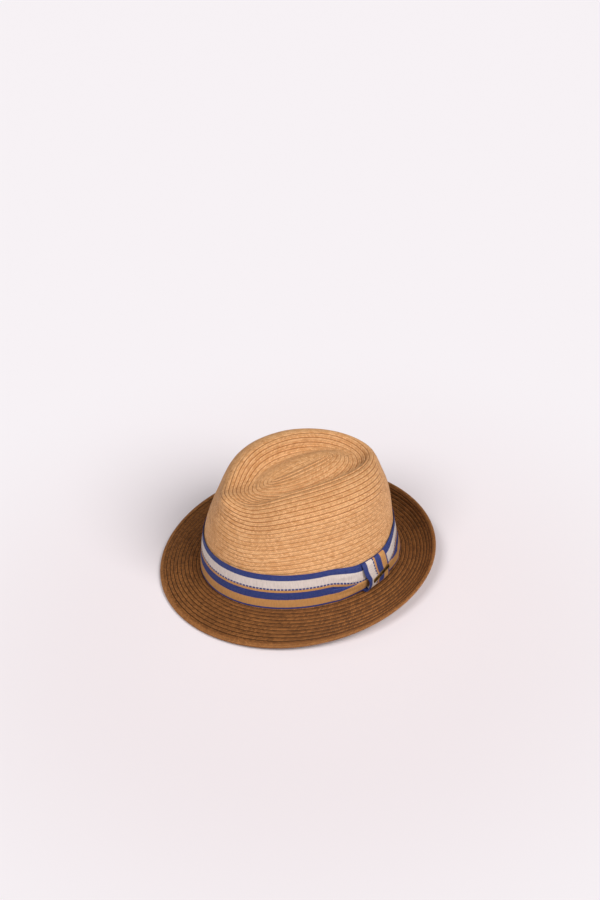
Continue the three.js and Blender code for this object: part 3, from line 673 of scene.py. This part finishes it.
MAT_CROWN = braid_material("crown_braid", TAN_LIGHT, TAN_MID, TAN_SHADE_AND_FLECK, foot=BROWN_MID, foot_row=3.0, out_first=True, row_shadow=0.42, pitch=1.9)
MAT_TIP = braid_material("crown_tip_braid", TAN_LIGHT, TAN_MID, TAN_SHADE_AND_FLECK, out_first=True, row_shadow=0.88, pitch=1.9, calm=(29.0, 34.0, 0.55))
MAT_BRIM = braid_material("brim_braid", BROWN_LIGHT, BROWN_MID, BROWN_SHADE_AND_FLECK, out_first=False, row_shadow=0.92, pitch=2.0)
# painted light: the turned edge row is a lighter, more saturated copy of the brim braid, standing for the light on
# the rolled edge
MAT_EDGE_PAINTED_LIGHT = braid_material("brim_edge_braid", srgb(176, 118, 66), srgb(142, 92, 48), srgb(80, 44, 18), out_first=False, row_shadow=0.2, pitch=2.0)
MAT_RIBBON = ribbon_material("striped_ribbon")
MAT_BRASS = metal_material("antique_brass", srgb(46, 32, 18), srgb(160, 124, 70))
MAT_THREAD = thread_material("sewing_thread", NAVY, srgb(60, 68, 120))
MAT_BROWN_THREAD = thread_material("brown_thread", BROWN_MID, BROWN_LIGHT)
MAT_CREAM_THREAD = thread_material("cream_thread", srgb(214, 200, 176), srgb(235, 225, 205))
MAT_SWEAT = cloth_material("sweatband_twill", srgb(222, 208, 184), srgb(206, 188, 160))
MAT_TAPE = cloth_material("seam_tape", srgb(206, 190, 164), srgb(188, 170, 142), pitch=0.7, slope=0.0)
MAT_LABEL = cloth_material("label_satin", srgb(238, 236, 228), srgb(226, 222, 212), pitch=0.5, slope=0.0, rough=0.5, distance=0.00005, ribs=True)
MAT_STEEL = metal_material("edge_wire_steel", srgb(120, 120, 122), srgb(190, 190, 192), rough=0.35)
MAT_SLEEVE = metal_material("sleeve_brass", srgb(140, 112, 62), srgb(196, 168, 104), rough=0.35)


# -------------------------------------------------------- spiral braid skins
def spiral(name, surf, na, v0, v1, phases, relief, back_phases, back_off, step_sign, weld, material,
           close_low=True, close_high=True, row_mm=4.3, along0=0.0, wobble=0.0):
    """closed shell of spiral rows. surf(al, V, d) -> points (m, na, 3), V the
    row coordinate at the column's angle. Columns run from the back round the
    front to the back again; the column after the last is the first, step_sign
    rows on."""
    al = -math.pi + TAU * np.arange(na) / na
    alx = np.concatenate([al, [math.pi]])

    def skin(ph, rel, out):
        k = np.arange(v0, v1)
        V = np.concatenate([(k[:, None] + np.asarray(ph)[None]).reshape(-1), [v1]])
        D = np.concatenate([np.tile(rel, len(k)), [rel[0]]])
        M = np.repeat(D[:, None], na + 1, 1)
        if wobble:
            rows = np.floor(V + 1e-6)
            a = alx[None] / TAU
            M = M + wobble * np.stack([noise_wave(a[0] + r * 0.377, 5 + int(r) % 7, 5, 3, 19) for r in rows])
        P = surf(alx, np.repeat(V[:, None], na + 1, 1), M)
        return P, V

    S, Sb = len(phases), len(back_phases)
    front, V = skin(phases, relief, True)
    back, Vb = skin(back_phases, back_off, False)
    # distance along each row, from the row where the spiral starts
    rows = np.arange(v0 - 1, v1 + 1)
    mid = surf(alx, np.repeat((rows + 0.5)[:, None], na + 1, 1), np.zeros((len(rows), na + 1)))
    seg = np.linalg.norm(np.diff(mid, axis=1), axis=2)
    along = np.concatenate([np.zeros((len(rows), 1)), np.cumsum(seg, 1)], 1)
    order = range(len(rows) - 1, -1, -1) if step_sign < 0 else range(len(rows))
    run = along0
    for r in order:
        along[r] += run
        run = along[r, -1]

    def faces(P, V, S, base):
        """vertices: na columns (all rows), then the extra ones of the last column"""
        m = len(V)
        idx = base + np.arange(m * na).reshape(m, na)
        last = np.empty(m, int)
        extra = []
        for j in range(m):
            k = j + step_sign * S
            if 0 <= k < m:
                last[j] = idx[k, 0]
            else:
                last[j] = base + m * na + len(extra)
                extra.append(P[j, na])
        full = np.concatenate([idx, last[:, None]], 1)
        verts = np.concatenate([P[:, :na].reshape(-1, 3), np.array(extra).reshape(-1, 3)])
        q = np.stack([full[:-1, :-1], full[:-1, 1:], full[1:, 1:], full[1:, :-1]], -1)
        row = np.floor((V[:-1] + V[1:]) / 2).astype(int) - (v0 - 1)
        A = along[row]
        vv0, vv1 = V[:-1, None] * np.ones((1, na)), V[1:, None] * np.ones((1, na))
        # keep the corners inside their own row
        vv1 = np.where(np.isclose(np.mod(vv1, 1), 0), vv1 - 1e-4, vv1)
        vv0 = vv0 + 1e-4 * np.isclose(np.mod(vv0, 1), 0)
        z = np.full_like(vv0, row_mm)
        cor = np.stack([
            np.stack([A[:, :-1], vv0, z], -1), np.stack([A[:, 1:], vv0, z], -1),
            np.stack([A[:, 1:], vv1, z], -1), np.stack([A[:, :-1], vv1, z], -1)], 2)
        return verts, full, q.reshape(-1, 4), cor.reshape(-1, 4, 3)

    va, fa, qa, ca = faces(front, V, S, 0)
    vb, fb, qb, cb = faces(back, Vb, Sb, len(va))
    F, C = [qa, qb[:, ::-1]], [ca, cb[:, ::-1]]

    def close(end):
        """strip between the front's and the back's border line, and the step"""
        r = 0 if end == "low" else -1
        a, b = fa[r], fb[r]
        F.append(np.stack([a[:-1], b[:-1], b[1:], a[1:]], -1))
        C.append(np.repeat(np.array([[[0, v0 + 0.5, row_mm]]]), na, 0).repeat(4, 1))
        # the step at the back, where the line ends one row from its start
        if end == "low":
            col_a, col_b = (fa[: S + 1, -1], fb[: Sb + 1, -1]) if step_sign < 0 else (fa[: S + 1, 0], fb[: Sb + 1, 0])
        else:
            col_a, col_b = (fa[-S - 1:, 0], fb[-Sb - 1:, 0]) if step_sign < 0 else (fa[-S - 1:, -1], fb[-Sb - 1:, -1])
        poly = list(col_a) + list(col_b[::-1])
        F.append(np.array([poly]))
        C.append(np.repeat(np.array([[[0, v0 + 0.5, row_mm]]]), len(poly), 1))

    if close_low:
        close("low")
    if close_high:
        close("high")
    ob = build(name, place(np.concatenate([va, vb])), F, C, weld=weld, sharp=70)
    ob.data.materials.append(material)
    return ob


def crown_spiral(al, V, d):
    u = (V - al[None] / TAU) / CROWN_ROWS
    p, n = crown_frame(al, np.clip(u, 0, 1))
    fade = 1 - smooth((u - 0.985) / 0.015)
    inner = d < -0.6
    dd = np.where(inner, d, d * fade)
    return p + n * dd[..., None]


def brim_spiral(al, V, d):
    arc = brim_arc(al)["arc"]
    s = (V + al[None] / TAU) / BRIM_ROWS * arc[None]
    s = np.clip(s, -2.0, arc[None] - EDGE_W + 0.4)
    base = np.where(d < -0.6, 0.0, BRIM_TOP)
    return brim(al, s, d + base)


CROWN_PH = [0.0, 0.09, 0.18, 0.32, 0.48, 0.64, 0.80, 0.93]
CROWN_RE = [-0.30, 0.22, 0.38, 0.33, 0.19, 0.01, -0.16, -0.28]
TIP_RE = [-0.38, 0.20, 0.44, 0.42, 0.27, 0.04, -0.20, -0.36]
BRIM_PH = [0.0, 0.07, 0.22, 0.38, 0.54, 0.70, 0.82, 0.90]
BRIM_RE = [-0.48, -0.40, -0.06, 0.18, 0.32, 0.40, 0.38, 0.22]

NA = 512

side = spiral("crown_side_braid", crown_spiral, NA, 0, CROWN_SPLIT, CROWN_PH, CROWN_RE, [0.0, 0.5], [-1.2, -1.4], -1,
              2e-6, MAT_CROWN, wobble=0.05)
finish_piece(side, MAT_CROWN, ["crown"])
tip = spiral("crown_tip_braid", crown_spiral, NA, CROWN_SPLIT, CROWN_ROWS + 1, CROWN_PH, TIP_RE, [0.0, 0.5], [-1.2, -1.4], -1,
             2e-6, MAT_TIP, close_high=False, wobble=0.05)
finish_piece(tip, MAT_TIP, ["crown"])

NB = 640
brim_ob = spiral("brim_braid", brim_spiral, NB, -1, BRIM_ROWS + 1, BRIM_PH, BRIM_RE, [0.0, 0.5], [-1.55, -1.7], 1,
                 2e-6, MAT_BRIM, wobble=0.04)
finish_piece(brim_ob, MAT_BRIM, ["brim"])

# the turned last row over the wire
NE = 720
ale = TAU * np.arange(NE) / NE
sec = [(-4.5, 0.02), (-4.2, 0.16), (-3.4, 0.24), (-2.5, 0.34), (-1.7, 0.38), (-1.0, 0.24), (-0.45, -0.1), (-0.12, -0.6), (0.0, -1.05),
       (-0.12, -1.5), (-0.45, -2.0), (-1.0, -2.32), (-1.7, -2.44), (-2.5, -2.38), (-3.4, -2.22), (-4.2, -2.1), (-4.5, -1.96),
       (-4.3, -1.72), (-2.4, -1.78), (-1.1, -1.72), (-0.75, -1.35), (-0.68, -1.05), (-0.75, -0.75), (-1.1, -0.38), (-2.4, -0.32), (-4.3, -0.30)]
arce = brim_arc(ale)["arc"]
ss = np.array([a for a, _ in sec])[:, None] + arce[None]
scal = 1 + 0.03 * noise_wave(ale / TAU, 3, 8, 20, 90)[None]
dd = (np.array([b for _, b in sec])[:, None] + 1.05) * scal - 1.05
pe = brim(ale, ss, dd)
M = len(sec)
r, c = np.meshgrid(np.arange(M), np.arange(NE), indexing="ij")
r1, c1 = (r + 1) % M, (c + 1) % NE
q = np.stack([r * NE + c, r * NE + c1, r1 * NE + c1, r1 * NE + c], -1).reshape(-1, 4)
run = np.concatenate([[0], np.cumsum(np.linalg.norm(np.diff(pe[8], axis=0, append=pe[8][:1]), axis=1))])
lin = np.concatenate([[0], np.cumsum([math.hypot(sec[i + 1][0] - sec[i][0], sec[i + 1][1] - sec[i][1]) for i in range(M - 1)])])
lin = np.append(lin, lin[-1] + 0.4) / 4.4
cor = np.stack([
    np.stack([run[c], lin[r], 0 * r], -1), np.stack([run[c + 1], lin[r], 0 * r], -1),
    np.stack([run[c + 1], lin[r + 1], 0 * r], -1), np.stack([run[c], lin[r + 1], 0 * r], -1)], 2).reshape(-1, 4, 3)
edge_ob = build("brim_edge_braid", place(pe).reshape(-1, 3), [q], [cor], sharp=60)
finish_piece(edge_ob, MAT_EDGE_PAINTED_LIGHT, ["brim_edge_row"])
# stitches that close the turned row
sp = brim(ale, (arce - 3.7)[None], np.array([0.24]))[0]
sn = unit(brim(ale, (arce - 3.7)[None], np.array([1.0]))[0] - brim(ale, (arce - 3.7)[None], np.array([0.0]))[0])
st = stitches("brim_edge_stitches", sp, sn, 2.6, 1.5, 0.17, 0.16)
finish_piece(st, MAT_BROWN_THREAD, [])

# -------------------------------------------------------------- the ribbon
_p = wall(np.array([KEEPER_ANGLE + 0.01, KEEPER_ANGLE - 0.01]), np.array([15.0]), np.array([0.0]))[0]
PER_MM = 0.02 / np.linalg.norm(_p[0] - _p[1])


def pull(al):
    off = np.abs(np.mod(al - KEEPER_ANGLE + math.pi, TAU) - math.pi) / PER_MM
    return 1 - smooth((off - KEEPER_W / 2 + 4) / (FOLD_LENGTH - KEEPER_W / 2)), off


NR = 720
alr = KEEPER_ANGLE + 0.5 * PER_MM + (TAU - PER_MM) * np.linspace(0, 1, NR)
w, off = pull(alr)
wf = 1 - smooth((off - 19) / 36)
q_fold = 5.6 * wf
a_fold = 22.6 - 0.7 * wf
m0 = np.concatenate([np.linspace(0, 13, 14), np.linspace(13, 30, 44)[1:], np.linspace(30, RIBBON_H, 9)[1:]])
hh, ddp = np.zeros((len(m0), NR)), np.zeros((len(m0), NR))
for j in range(NR):
    q, a = q_fold[j], a_fold[j]
    top = RIBBON_H + 0.1 - 6.0 * w[j]
    up = smooth((m0 - a + 0.45) / 0.9) * (1 - smooth((m0 - a - q + 0.45) / 0.9)) if q > 0.05 else 0 * m0
    rate = 1 - 2 * up * min(1.0, q / 0.9)
    path = np.concatenate([[0], np.cumsum((rate[1:] + rate[:-1]) / 2 * np.diff(m0))])
    h = top - path
    layer = smooth((m0 - a + 0.6) / 1.2) * 0.55 + smooth((m0 - a - q + 0.6) / 1.2) * 0.55
    tt = np.clip((top - h) / (top - h[-1]), 0, 1)
    puff = 2.9 * w[j] * np.sin(np.pi * tt ** 0.9) ** 0.9
    puff = puff + np.sin(tt * 30 + 0.6 * np.sin(off[j] / 9)) * w[j] * (1 - w[j]) * 0.88
    d = 1.05 + layer * min(1.0, q / 1.2) + puff
    h = 0.35 + (h - h[-1]) * (top - 0.35 - 2.2 * w[j]) / (top - h[-1]) + 2.2 * w[j]
    hh[:, j], ddp[:, j] = h, d
turns = alr / TAU
wave = noise_wave(turns, 21, 7, 3, 17)
f_m = m0 / RIBBON_H
ddp += 0.16 * wave[None] * (0.4 + 0.6 * np.abs(f_m - 0.5) * 2)[:, None]
ddp += 0.22 * np.clip(noise_wave(turns, 22, 7, 5, 23), 0, 1)[None] * np.exp(-((f_m / 0.10) ** 2))[:, None]
rib = wall(alr, hh, np.zeros_like(hh))
_, nn = crown_frame(alr, Lines(alr).share(np.maximum(hh, 0)))
rib = rib + nn * ddp[..., None]
mid = rib[len(m0) // 2]
alongr = np.concatenate([[0], np.cumsum(np.linalg.norm(np.diff(rib[6], axis=0), axis=1))])
wr = np.stack([np.repeat(alongr[None], len(m0), 0), np.repeat(f_m[:, None], NR, 1), 0 * hh], -1)
ribbon = slab("striped_ribbon_band", rib, 0.55, wr, inward=True)
finish_piece(ribbon, MAT_RIBBON, ["ribbon_band", "ribbon_fold_front", "ribbon_fold_rear"])

BAR_L, BAR_H, BAR_T, BAR_Z, BAR_ALONG, BAR_TILT = 25.0, 4.4, 1.2, 12.5, 3.2, 14.0 * RAD
ab = KEEPER_ANGLE + BAR_ALONG * PER_MM
ow = wall(np.array([ab, ab + 0.1, ab - 0.1]), np.array([BAR_Z]), np.array([4.6]))[0]
_, bn = crown_frame(np.array([ab]), np.array([0.1]))
bn = bn[0, 0]
o = wall(np.array([ab]), np.array([BAR_Z]), np.array([6.15]))[0, 0]
x0 = unit(ow[1] - ow[2])
y0 = unit(np.cross(bn, x0))
z0 = unit(np.cross(x0, y0))
xb = unit(x0 * math.cos(BAR_TILT) + y0 * (1 if y0[2] > 0 else -1) * math.sin(BAR_TILT))
yb = unit(np.cross(z0, xb))
# -------------------------------------------------------------- the keeper
NK, MK = ((72, 110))
g0 = np.linspace(0, 1, NK)
ctrl = np.array([  # t, height, stand-off of the outer face
    (0.00, 27.6, 3.2), (0.06, 29.8, 2.4), (0.12, 31.4, 2.2), (0.17, 32.0, 2.8), (0.23, 31.2, 3.9), (0.32, 27.9, 5.0), (0.44, 22.3, 5.7),
    (0.56, 16.9, 5.8), (0.64, 12.8, 5.8), (0.74, 8.6, 5.7), (0.83, 4.9, 5.3), (0.89, 3.0, 4.6), (0.94, 2.4, 3.5), (1.00, 4.0, 3.0)])
tk = np.linspace(0, 1, MK)
wk = spline_weights(ctrl[:, 0], tk)
hk, dk = wk @ ctrl[:, 1], wk @ ctrl[:, 2]
nip = np.exp(-(((hk - 12.5) / 7.0) ** 2)) * smooth((tk - 0.2) / 0.1) * (1 - smooth((tk - 0.84) / 0.1))
front = smooth((tk - 0.18) / 0.12) * (1 - smooth((tk - 0.86) / 0.08))
width = LOOP_W * (1 - 0.08 * nip)
shift = 2.0 * nip - 1.2
alk = KEEPER_ANGLE + ((g0[None] - 0.5) * width[:, None] + shift[:, None]) * PER_MM
left = (1 - g0) ** 5
lift = 3.6 * front[:, None] * left[None] * np.exp(-(((hk - 9) / 12) ** 2))[:, None]
crease = 0.30 * nip[:, None] * np.cos(TAU * 3.0 * (g0 - 0.1))[None] + 0.18 * front[:, None] * np.sin(TAU * 1.5 * g0 + 1.0)[None]
dk2 = dk[:, None] + lift + crease
keep = np.empty((MK, NK, 3))
for i in range(MK):
    keep[i] = wall(alk[i], np.array([hk[i]]), dk2[i][None])[0]
# the bar presses the front of the loop down
loc = keep - o
lx, ly, lz = np.abs(loc @ xb), np.abs(loc @ yb), loc @ z0
away = np.hypot(np.clip(lx - 12.6, 0, None), np.clip(ly - 2.3, 0, None))
cap = -0.12 + 0.16 * away + 0.6 * smooth((away - 3) / 7)
push = np.where((front[:, None] > 0.02) & (lz > cap), cap - lz, 0.0)
keep = keep + push[..., None] * z0
lk = np.concatenate([[0], np.cumsum(np.linalg.norm(np.diff(keep[:, NK // 2], axis=0), axis=1))])
wk3 = np.stack([np.repeat(lk[:, None], NK, 1), np.repeat(g0[None], MK, 0), np.zeros((MK, NK))], -1)
keeper = slab("striped_keeper_loop", keep, 0.6, wk3)
finish_piece(keeper, MAT_RIBBON, ["keeper_loop"])

# ------------------------------------------------------------- the metal bar
nbx, nby = ((150, 30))
gx, gy = np.linspace(-1, 1, nbx), np.linspace(-1, 1, nby)
GX, GY = np.meshgrid(gx, gy)
# rounded ends
hx = BAR_L / 2
X = GX * hx
Yh = BAR_H / 2 * np.sqrt(np.clip(1 - np.clip((np.abs(X) - (hx - 0.9)) / 0.9, 0, 1) ** 2 * 0.75, 0, 1))
Y = GY * Yh
ed = np.minimum(hx - np.abs(X), Yh - np.abs(Y))
top = BAR_T * (0.62 + 0.38 * smooth(ed / 0.45)) - 0.30 * smooth((ed - 0.75) / 0.35)
rng = np.random.default_rng(8)
dim = np.zeros_like(X)
for _ in range(150):
    cx, cy, cr, ch = rng.uniform(-hx, hx), rng.uniform(-1.3, 1.3), rng.uniform(0.45, 0.95), rng.uniform(0.04, 0.11)
    dim += ch * np.clip(1 - ((X - cx) ** 2 + (Y - cy) ** 2) / cr**2, 0, 1) ** 1.2
top = top - dim * smooth((ed - 0.6) / 0.4)
bar = o + X[..., None] * xb + Y[..., None] * yb + top[..., None] * z0
bar = bar[::-1] if np.dot(np.cross(bar[0, 1] - bar[0, 0], bar[1, 0] - bar[0, 0]), z0) < 0 else bar
m_, n_ = bar.shape[:2]
base_pts = bar - ((bar - o) @ z0)[..., None] * z0
v = np.concatenate([bar.reshape(-1, 3), base_pts.reshape(-1, 3)])
F = [grid_quads(m_, n_), grid_quads(m_, n_, m_ * n_)[:, ::-1]]
ring = np.concatenate([np.arange(n_), np.arange(1, m_) * n_ + n_ - 1, (m_ - 1) * n_ + np.arange(n_ - 2, -1, -1), np.arange(m_ - 2, 0, -1) * n_])
nx = np.roll(ring, -1)
F.append(np.stack([ring, nx, nx + m_ * n_, ring + m_ * n_], -1))
verts, faces = [v], F
at = len(v)
for px in (-7.5, 7.5):  # posts, turned over behind the retainer
    a = np.arange(16) * TAU / 16
    prof = [(0.45, -0.02), (0.45, -2.6), (0.40, -2.78), (0.2, -2.85)]
    pr = np.concatenate([[o + px * xb + rr * (np.cos(t) * xb + np.sin(t) * yb) + zz * z0 for t in a] for rr, zz in prof])
    verts.append(pr)
    faces.append(grid_quads(4, 16, at, wrap=True))
    faces.append(np.array([at + np.arange(16)]))
    faces.append(np.array([at + 48 + np.arange(16)]))
    at += len(pr)
bar_ob = build("hammered_bar", place(np.concatenate(verts)), faces, None, sharp=35)
finish_piece(bar_ob, MAT_BRASS, ["bar_pin"])

# ---------------------------------------------------------- tacks on ribbon
for name, deg in (("front", 0), ("left", 50), ("back", 180), ("right", 270)):
    a = deg * RAD
    V, F, C, base = [], [], [], 0
    for k, da in enumerate((-0.45, 0.0, 0.45)):
        t = np.linspace(0, 1, 9)
        al = np.full(9, a + (da + 0.25 * (t - 0.5)) / 92)
        hgt = 1.2 + 2.2 * t
        p = np.array([wall(al[i:i + 1], np.array([hgt[i]]), np.array([1.12 + 0.34 * math.sin(math.pi * t[i])]))[0, 0] for i in range(9)])
        nrm = crown_frame(np.array([a]), np.array([0.02]))[1][0, 0]
        tan = unit(np.gradient(p, axis=0))
        sd = unit(np.cross(tan, nrm))
        an = np.arange(8) * TAU / 8
        ringp = p[:, None] + 0.17 * (np.cos(an)[None, :, None] * sd[:, None] + np.sin(an)[None, :, None] * nrm)
        V.append(ringp.reshape(-1, 3))
        qd = grid_quads(9, 8, base, wrap=True)
        F.append(qd)
        C.append(np.stack([np.stack([(qd[:, i] - base) // 8 * 0.28, (qd[:, i] % 8) / 8.0, 0 * qd[:, i]], -1) for i in range(4)], 1))
        for e in (0, 8):
            F.append(np.array([base + e * 8 + np.arange(8)]))
            C.append(np.zeros((1, 8, 3)))
        base += 72
    ob = build("ribbon_tack_threads_" + name, place(np.concatenate(V)), F, C, sharp=60)
    finish_piece(ob, MAT_THREAD, ["ribbon_tack_" + name])

# --------------------------------------------------------------- sweatband
NS = 600
als = math.pi + 0.35 / 95 + (TAU - 0.7 / 95) * np.linspace(0, 1, NS)
hs = np.concatenate([np.linspace(0.2, 3, 5), np.linspace(3, 25, 14)[1:], np.linspace(25, 30.2, 9)[1:]])
bow = 0.55 * np.sin(np.pi * np.clip((hs - 3) / 24, 0, 1))
hem = 0.30 * np.exp(-(((hs - 28.4) / 1.3) ** 2)) - 0.18 * np.exp(-(((hs - 26.2) / 0.5) ** 2)) - 0.15 * np.exp(-(((hs - 3.4) / 0.5) ** 2))
dsw = np.repeat((-2.75 - bow - hem)[:, None], NS, 1) - 0.10 * noise_wave(als / TAU, 31, 7, 4, 25)[None]
sw = wall(als, np.repeat(hs[:, None], NS, 1), dsw)
lsw = np.concatenate([[0], np.cumsum(np.linalg.norm(np.diff(sw[10], axis=0), axis=1))])
ww = np.stack([np.repeat(lsw[None], len(hs), 0), np.repeat(hs[:, None], NS, 1), 0 * dsw], -1)
sweat = slab("sweatband_twill_band", sw, 0.9, ww, inward=False)
finish_piece(sweat, MAT_SWEAT, ["sweatband"])
for nm, hgt, dd_ in (("low", 3.4, -2.62), ("top", 26.2, -2.70)):
    sp = wall(als, np.array([hgt]), np.array([dd_]))[0]
    _, n_in = crown_frame(als, Lines(als).share(np.array([hgt])))
    ob = stitches("sweatband_stitches_" + nm, sp, -n_in[0], 2.4, 0.9, 0.17, 0.14)
    finish_piece(ob, MAT_CREAM_THREAD, [])

# reed: cord covered in the band's cloth along its lower edge
alq = TAU * np.arange(480) / 480
an = np.arange(14) * TAU / 14
rd = np.stack([wall(alq, np.array([-1.0 + 1.0 * math.sin(t)]), np.array([-2.75 + 1.0 * math.cos(t)]))[0] for t in an])
qd = grid_quads(14, 480, 0, wrap=True)
last = np.stack([13 * 480 + np.arange(480), 13 * 480 + (np.arange(480) + 1) % 480, (np.arange(480) + 1) % 480, np.arange(480)], -1)
qd = np.concatenate([qd, last])
rc = np.stack([(qd % 480) * 1.2, (qd // 480) * 0.45, 0 * qd], -1).astype(float)
wrapc = rc[..., 0].max(1) - rc[..., 0].min(1) > 100
rc[wrapc] = np.where(rc[wrapc] < 100, rc[wrapc] + np.array([480 * 1.2, 0, 0]), rc[wrapc])
ob = build("sweatband_reed_cord", place(rd).reshape(-1, 3), [qd], [rc], sharp=60)
finish_piece(ob, MAT_SWEAT, ["sweatband_reed"])


def patch(name, angle, width, h0, h1, stand, thick, material, node, slot, curl=0.0, nx=40, ny=50, edge=0.0):
    half = width / 2 / 92
    al = angle + np.linspace(-half, half, nx)
    h = np.linspace(h0, h1, ny)
    free = smooth((h - 30.5) / 10)
    d = -(1.65 + 1.0 + stand + thick) - 0.55 * np.sin(np.pi * np.clip((h - 3) / 24, 0, 1))
    d = np.repeat(d[:, None], nx, 1) - curl * free[:, None] * (0.6 + 0.4 * np.cos(np.linspace(-1.5, 1.5, nx)))[None]
    rim = np.minimum(np.minimum(np.linspace(0, width, nx)[None], np.linspace(width, 0, nx)[None]), np.minimum((h - h0)[:, None], (h1 - h)[:, None]))
    d = d - edge * (1 - smooth((rim - 0.9) / 0.5))
    p = wall(al, np.repeat(h[:, None], nx, 1), d)
    ww = np.stack([np.repeat(((al - al[0]) * 92)[None], ny, 0), np.repeat(h[:, None], nx, 1), np.zeros((ny, nx))], -1)
    ob = slab(name, p, thick, ww, inward=False)
    return finish_piece(ob, material, [node])


patch("sweatband_back_tape", math.pi, 9.0, 1.5, 29.0, 0.25, 0.4, MAT_TAPE, "sweatband_seam_tape", "sweatband_cloth", edge=0.12)
size_ob = patch("size_tab_blank", math.pi - 0.28, 14.0, 8.0, 26.0, 0.25, 0.35, MAT_LABEL, "size_tab", "label_cloth", edge=0.1)
care_ob = patch("care_label_blank", math.pi + 0.42, 22.0, 6.0, 42.0, 0.25, 0.3, MAT_LABEL, "care_label", "label_cloth", curl=2.2, edge=0.08)

# carried-over metal nodes
for node, mat in (("brim_wire", MAT_STEEL), ("brim_wire_sleeve", MAT_SLEEVE), ("bar_pin_backing", MAT_BRASS)):
    for s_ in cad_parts[node].material_slots:
        s_.link = "OBJECT"
        s_.material = mat

# ------------------------------------------------------------ floor, camera
sc = bpy.context.scene
me = bpy.data.meshes.new("floor")
R = 9.0
me.from_pydata([(-R, -R, 0), (R, -R, 0), (R, R, 0), (-R, R, 0)], [], [(0, 1, 2, 3)])
floor = bpy.data.objects.new("floor", me)
floor.location.z = -0.0002
sc.collection.objects.link(floor)
fm = bpy.data.materials.new("floor_paper_painted_shade")
fm.use_nodes = True
fb = fm.node_tree.nodes["Principled BSDF"]
fb.inputs["Roughness"].default_value = 0.9
fb.inputs["Specular IOR Level"].default_value = 0.1
# painted shade: the floor is darker in a broad pool round the hat and lighter farther out
_t = fm.node_tree
_co = _t.nodes.new("ShaderNodeTexCoord")
_ln = _t.nodes.new("ShaderNodeVectorMath")
_ln.operation = "LENGTH"
_mr = _t.nodes.new("ShaderNodeMapRange")
_mr.interpolation_type = "SMOOTHSTEP"
_mr.inputs[1].default_value, _mr.inputs[2].default_value = 0.16, 0.50
_of = _t.nodes.new("ShaderNodeVectorMath")
_of.operation = "ADD"
_of.inputs[1].default_value = (-0.107, 0.054, 0.0)
_floor_shade_mix = _t.nodes.new("ShaderNodeMix")
_floor_shade_mix.data_type = "RGBA"
_floor_shade_mix.inputs[6].default_value = (0.900, 0.838, 0.868, 1)
_floor_shade_mix.inputs[7].default_value = (0.955, 0.925, 0.960, 1)
_t.links.new(_co.outputs["Object"], _of.inputs[0])
_t.links.new(_of.outputs[0], _ln.inputs[0])
_t.links.new(_ln.outputs["Value"], _mr.inputs[0])
_t.links.new(_mr.outputs[0], _floor_shade_mix.inputs[0])
_t.links.new(_floor_shade_mix.outputs[2], fb.inputs["Base Color"])
me.materials.append(fm)

K = 1.02
PHI, ELE, DIST, TX, TY, FPX = 1.10177094, 0.618046973, 2068.248, 300.806855, 552.199323, 2125.0
right = np.array([math.cos(PHI), math.sin(PHI), 0])
back = np.array([math.sin(PHI) * math.cos(ELE), -math.cos(PHI) * math.cos(ELE), math.sin(ELE)])
upv = np.cross(back, right)
xc, yc = (TX - 300) / FPX * DIST, -(TY - 450) / FPX * DIST
cpos = K * (-xc * right - yc * upv + DIST * back)
cam = bpy.data.cameras.new("camera")
cam.sensor_width = 36
cam.lens = FPX / 900 * 36
cam.clip_start, cam.clip_end = 0.1, 40
cam_ob = bpy.data.objects.new("camera", cam)
sc.collection.objects.link(cam_ob)
rv, uv, bv = turn(right), turn(upv), turn(back)
cam_ob.matrix_world = Matrix((
    (rv.x, uv.x, bv.x, place(cpos)[0]), (rv.y, uv.y, bv.y, place(cpos)[1]), (rv.z, uv.z, bv.z, place(cpos)[2]), (0, 0, 0, 1)))
sc.camera = cam_ob

# ------------------------------------------------------------------- lights
sc.view_settings.view_transform = "Standard"
sc.view_settings.look = "None"
world = bpy.data.worlds.new("studio")
sc.world = world
world.use_nodes = True
bg = world.node_tree.nodes["Background"]
bg.inputs[0].default_value = (1.0, 0.97, 0.985, 1)
bg.inputs[1].default_value = 0.12


def sun(name, azimuth, height, power, spread, color=(1, 1, 1)):
    """azimuth in degrees to the right of the camera, seen from the hat"""
    li = bpy.data.lights.new(name, "SUN")
    li.energy = power
    li.angle = spread * RAD
    li.color = color
    ob = bpy.data.objects.new(name, li)
    a, h = azimuth * RAD, height * RAD
    fwd, rgt = Vector((back[0], back[1], 0)).normalized(), Vector(right)
    d = (fwd * math.cos(a) + rgt * math.sin(a)) * math.cos(h) + Vector((0, 0, math.sin(h)))
    ob.rotation_mode = "QUATERNION"
    ob.rotation_quaternion = d.to_track_quat("Z", "Y")
    sc.collection.objects.link(ob)
    return ob


sun("softbox_right", 48, 42, 2.45, 36, (1.0, 0.985, 0.975))
sun("softbox_left", -40, 50, 1.38, 30, (1.0, 0.985, 0.975))
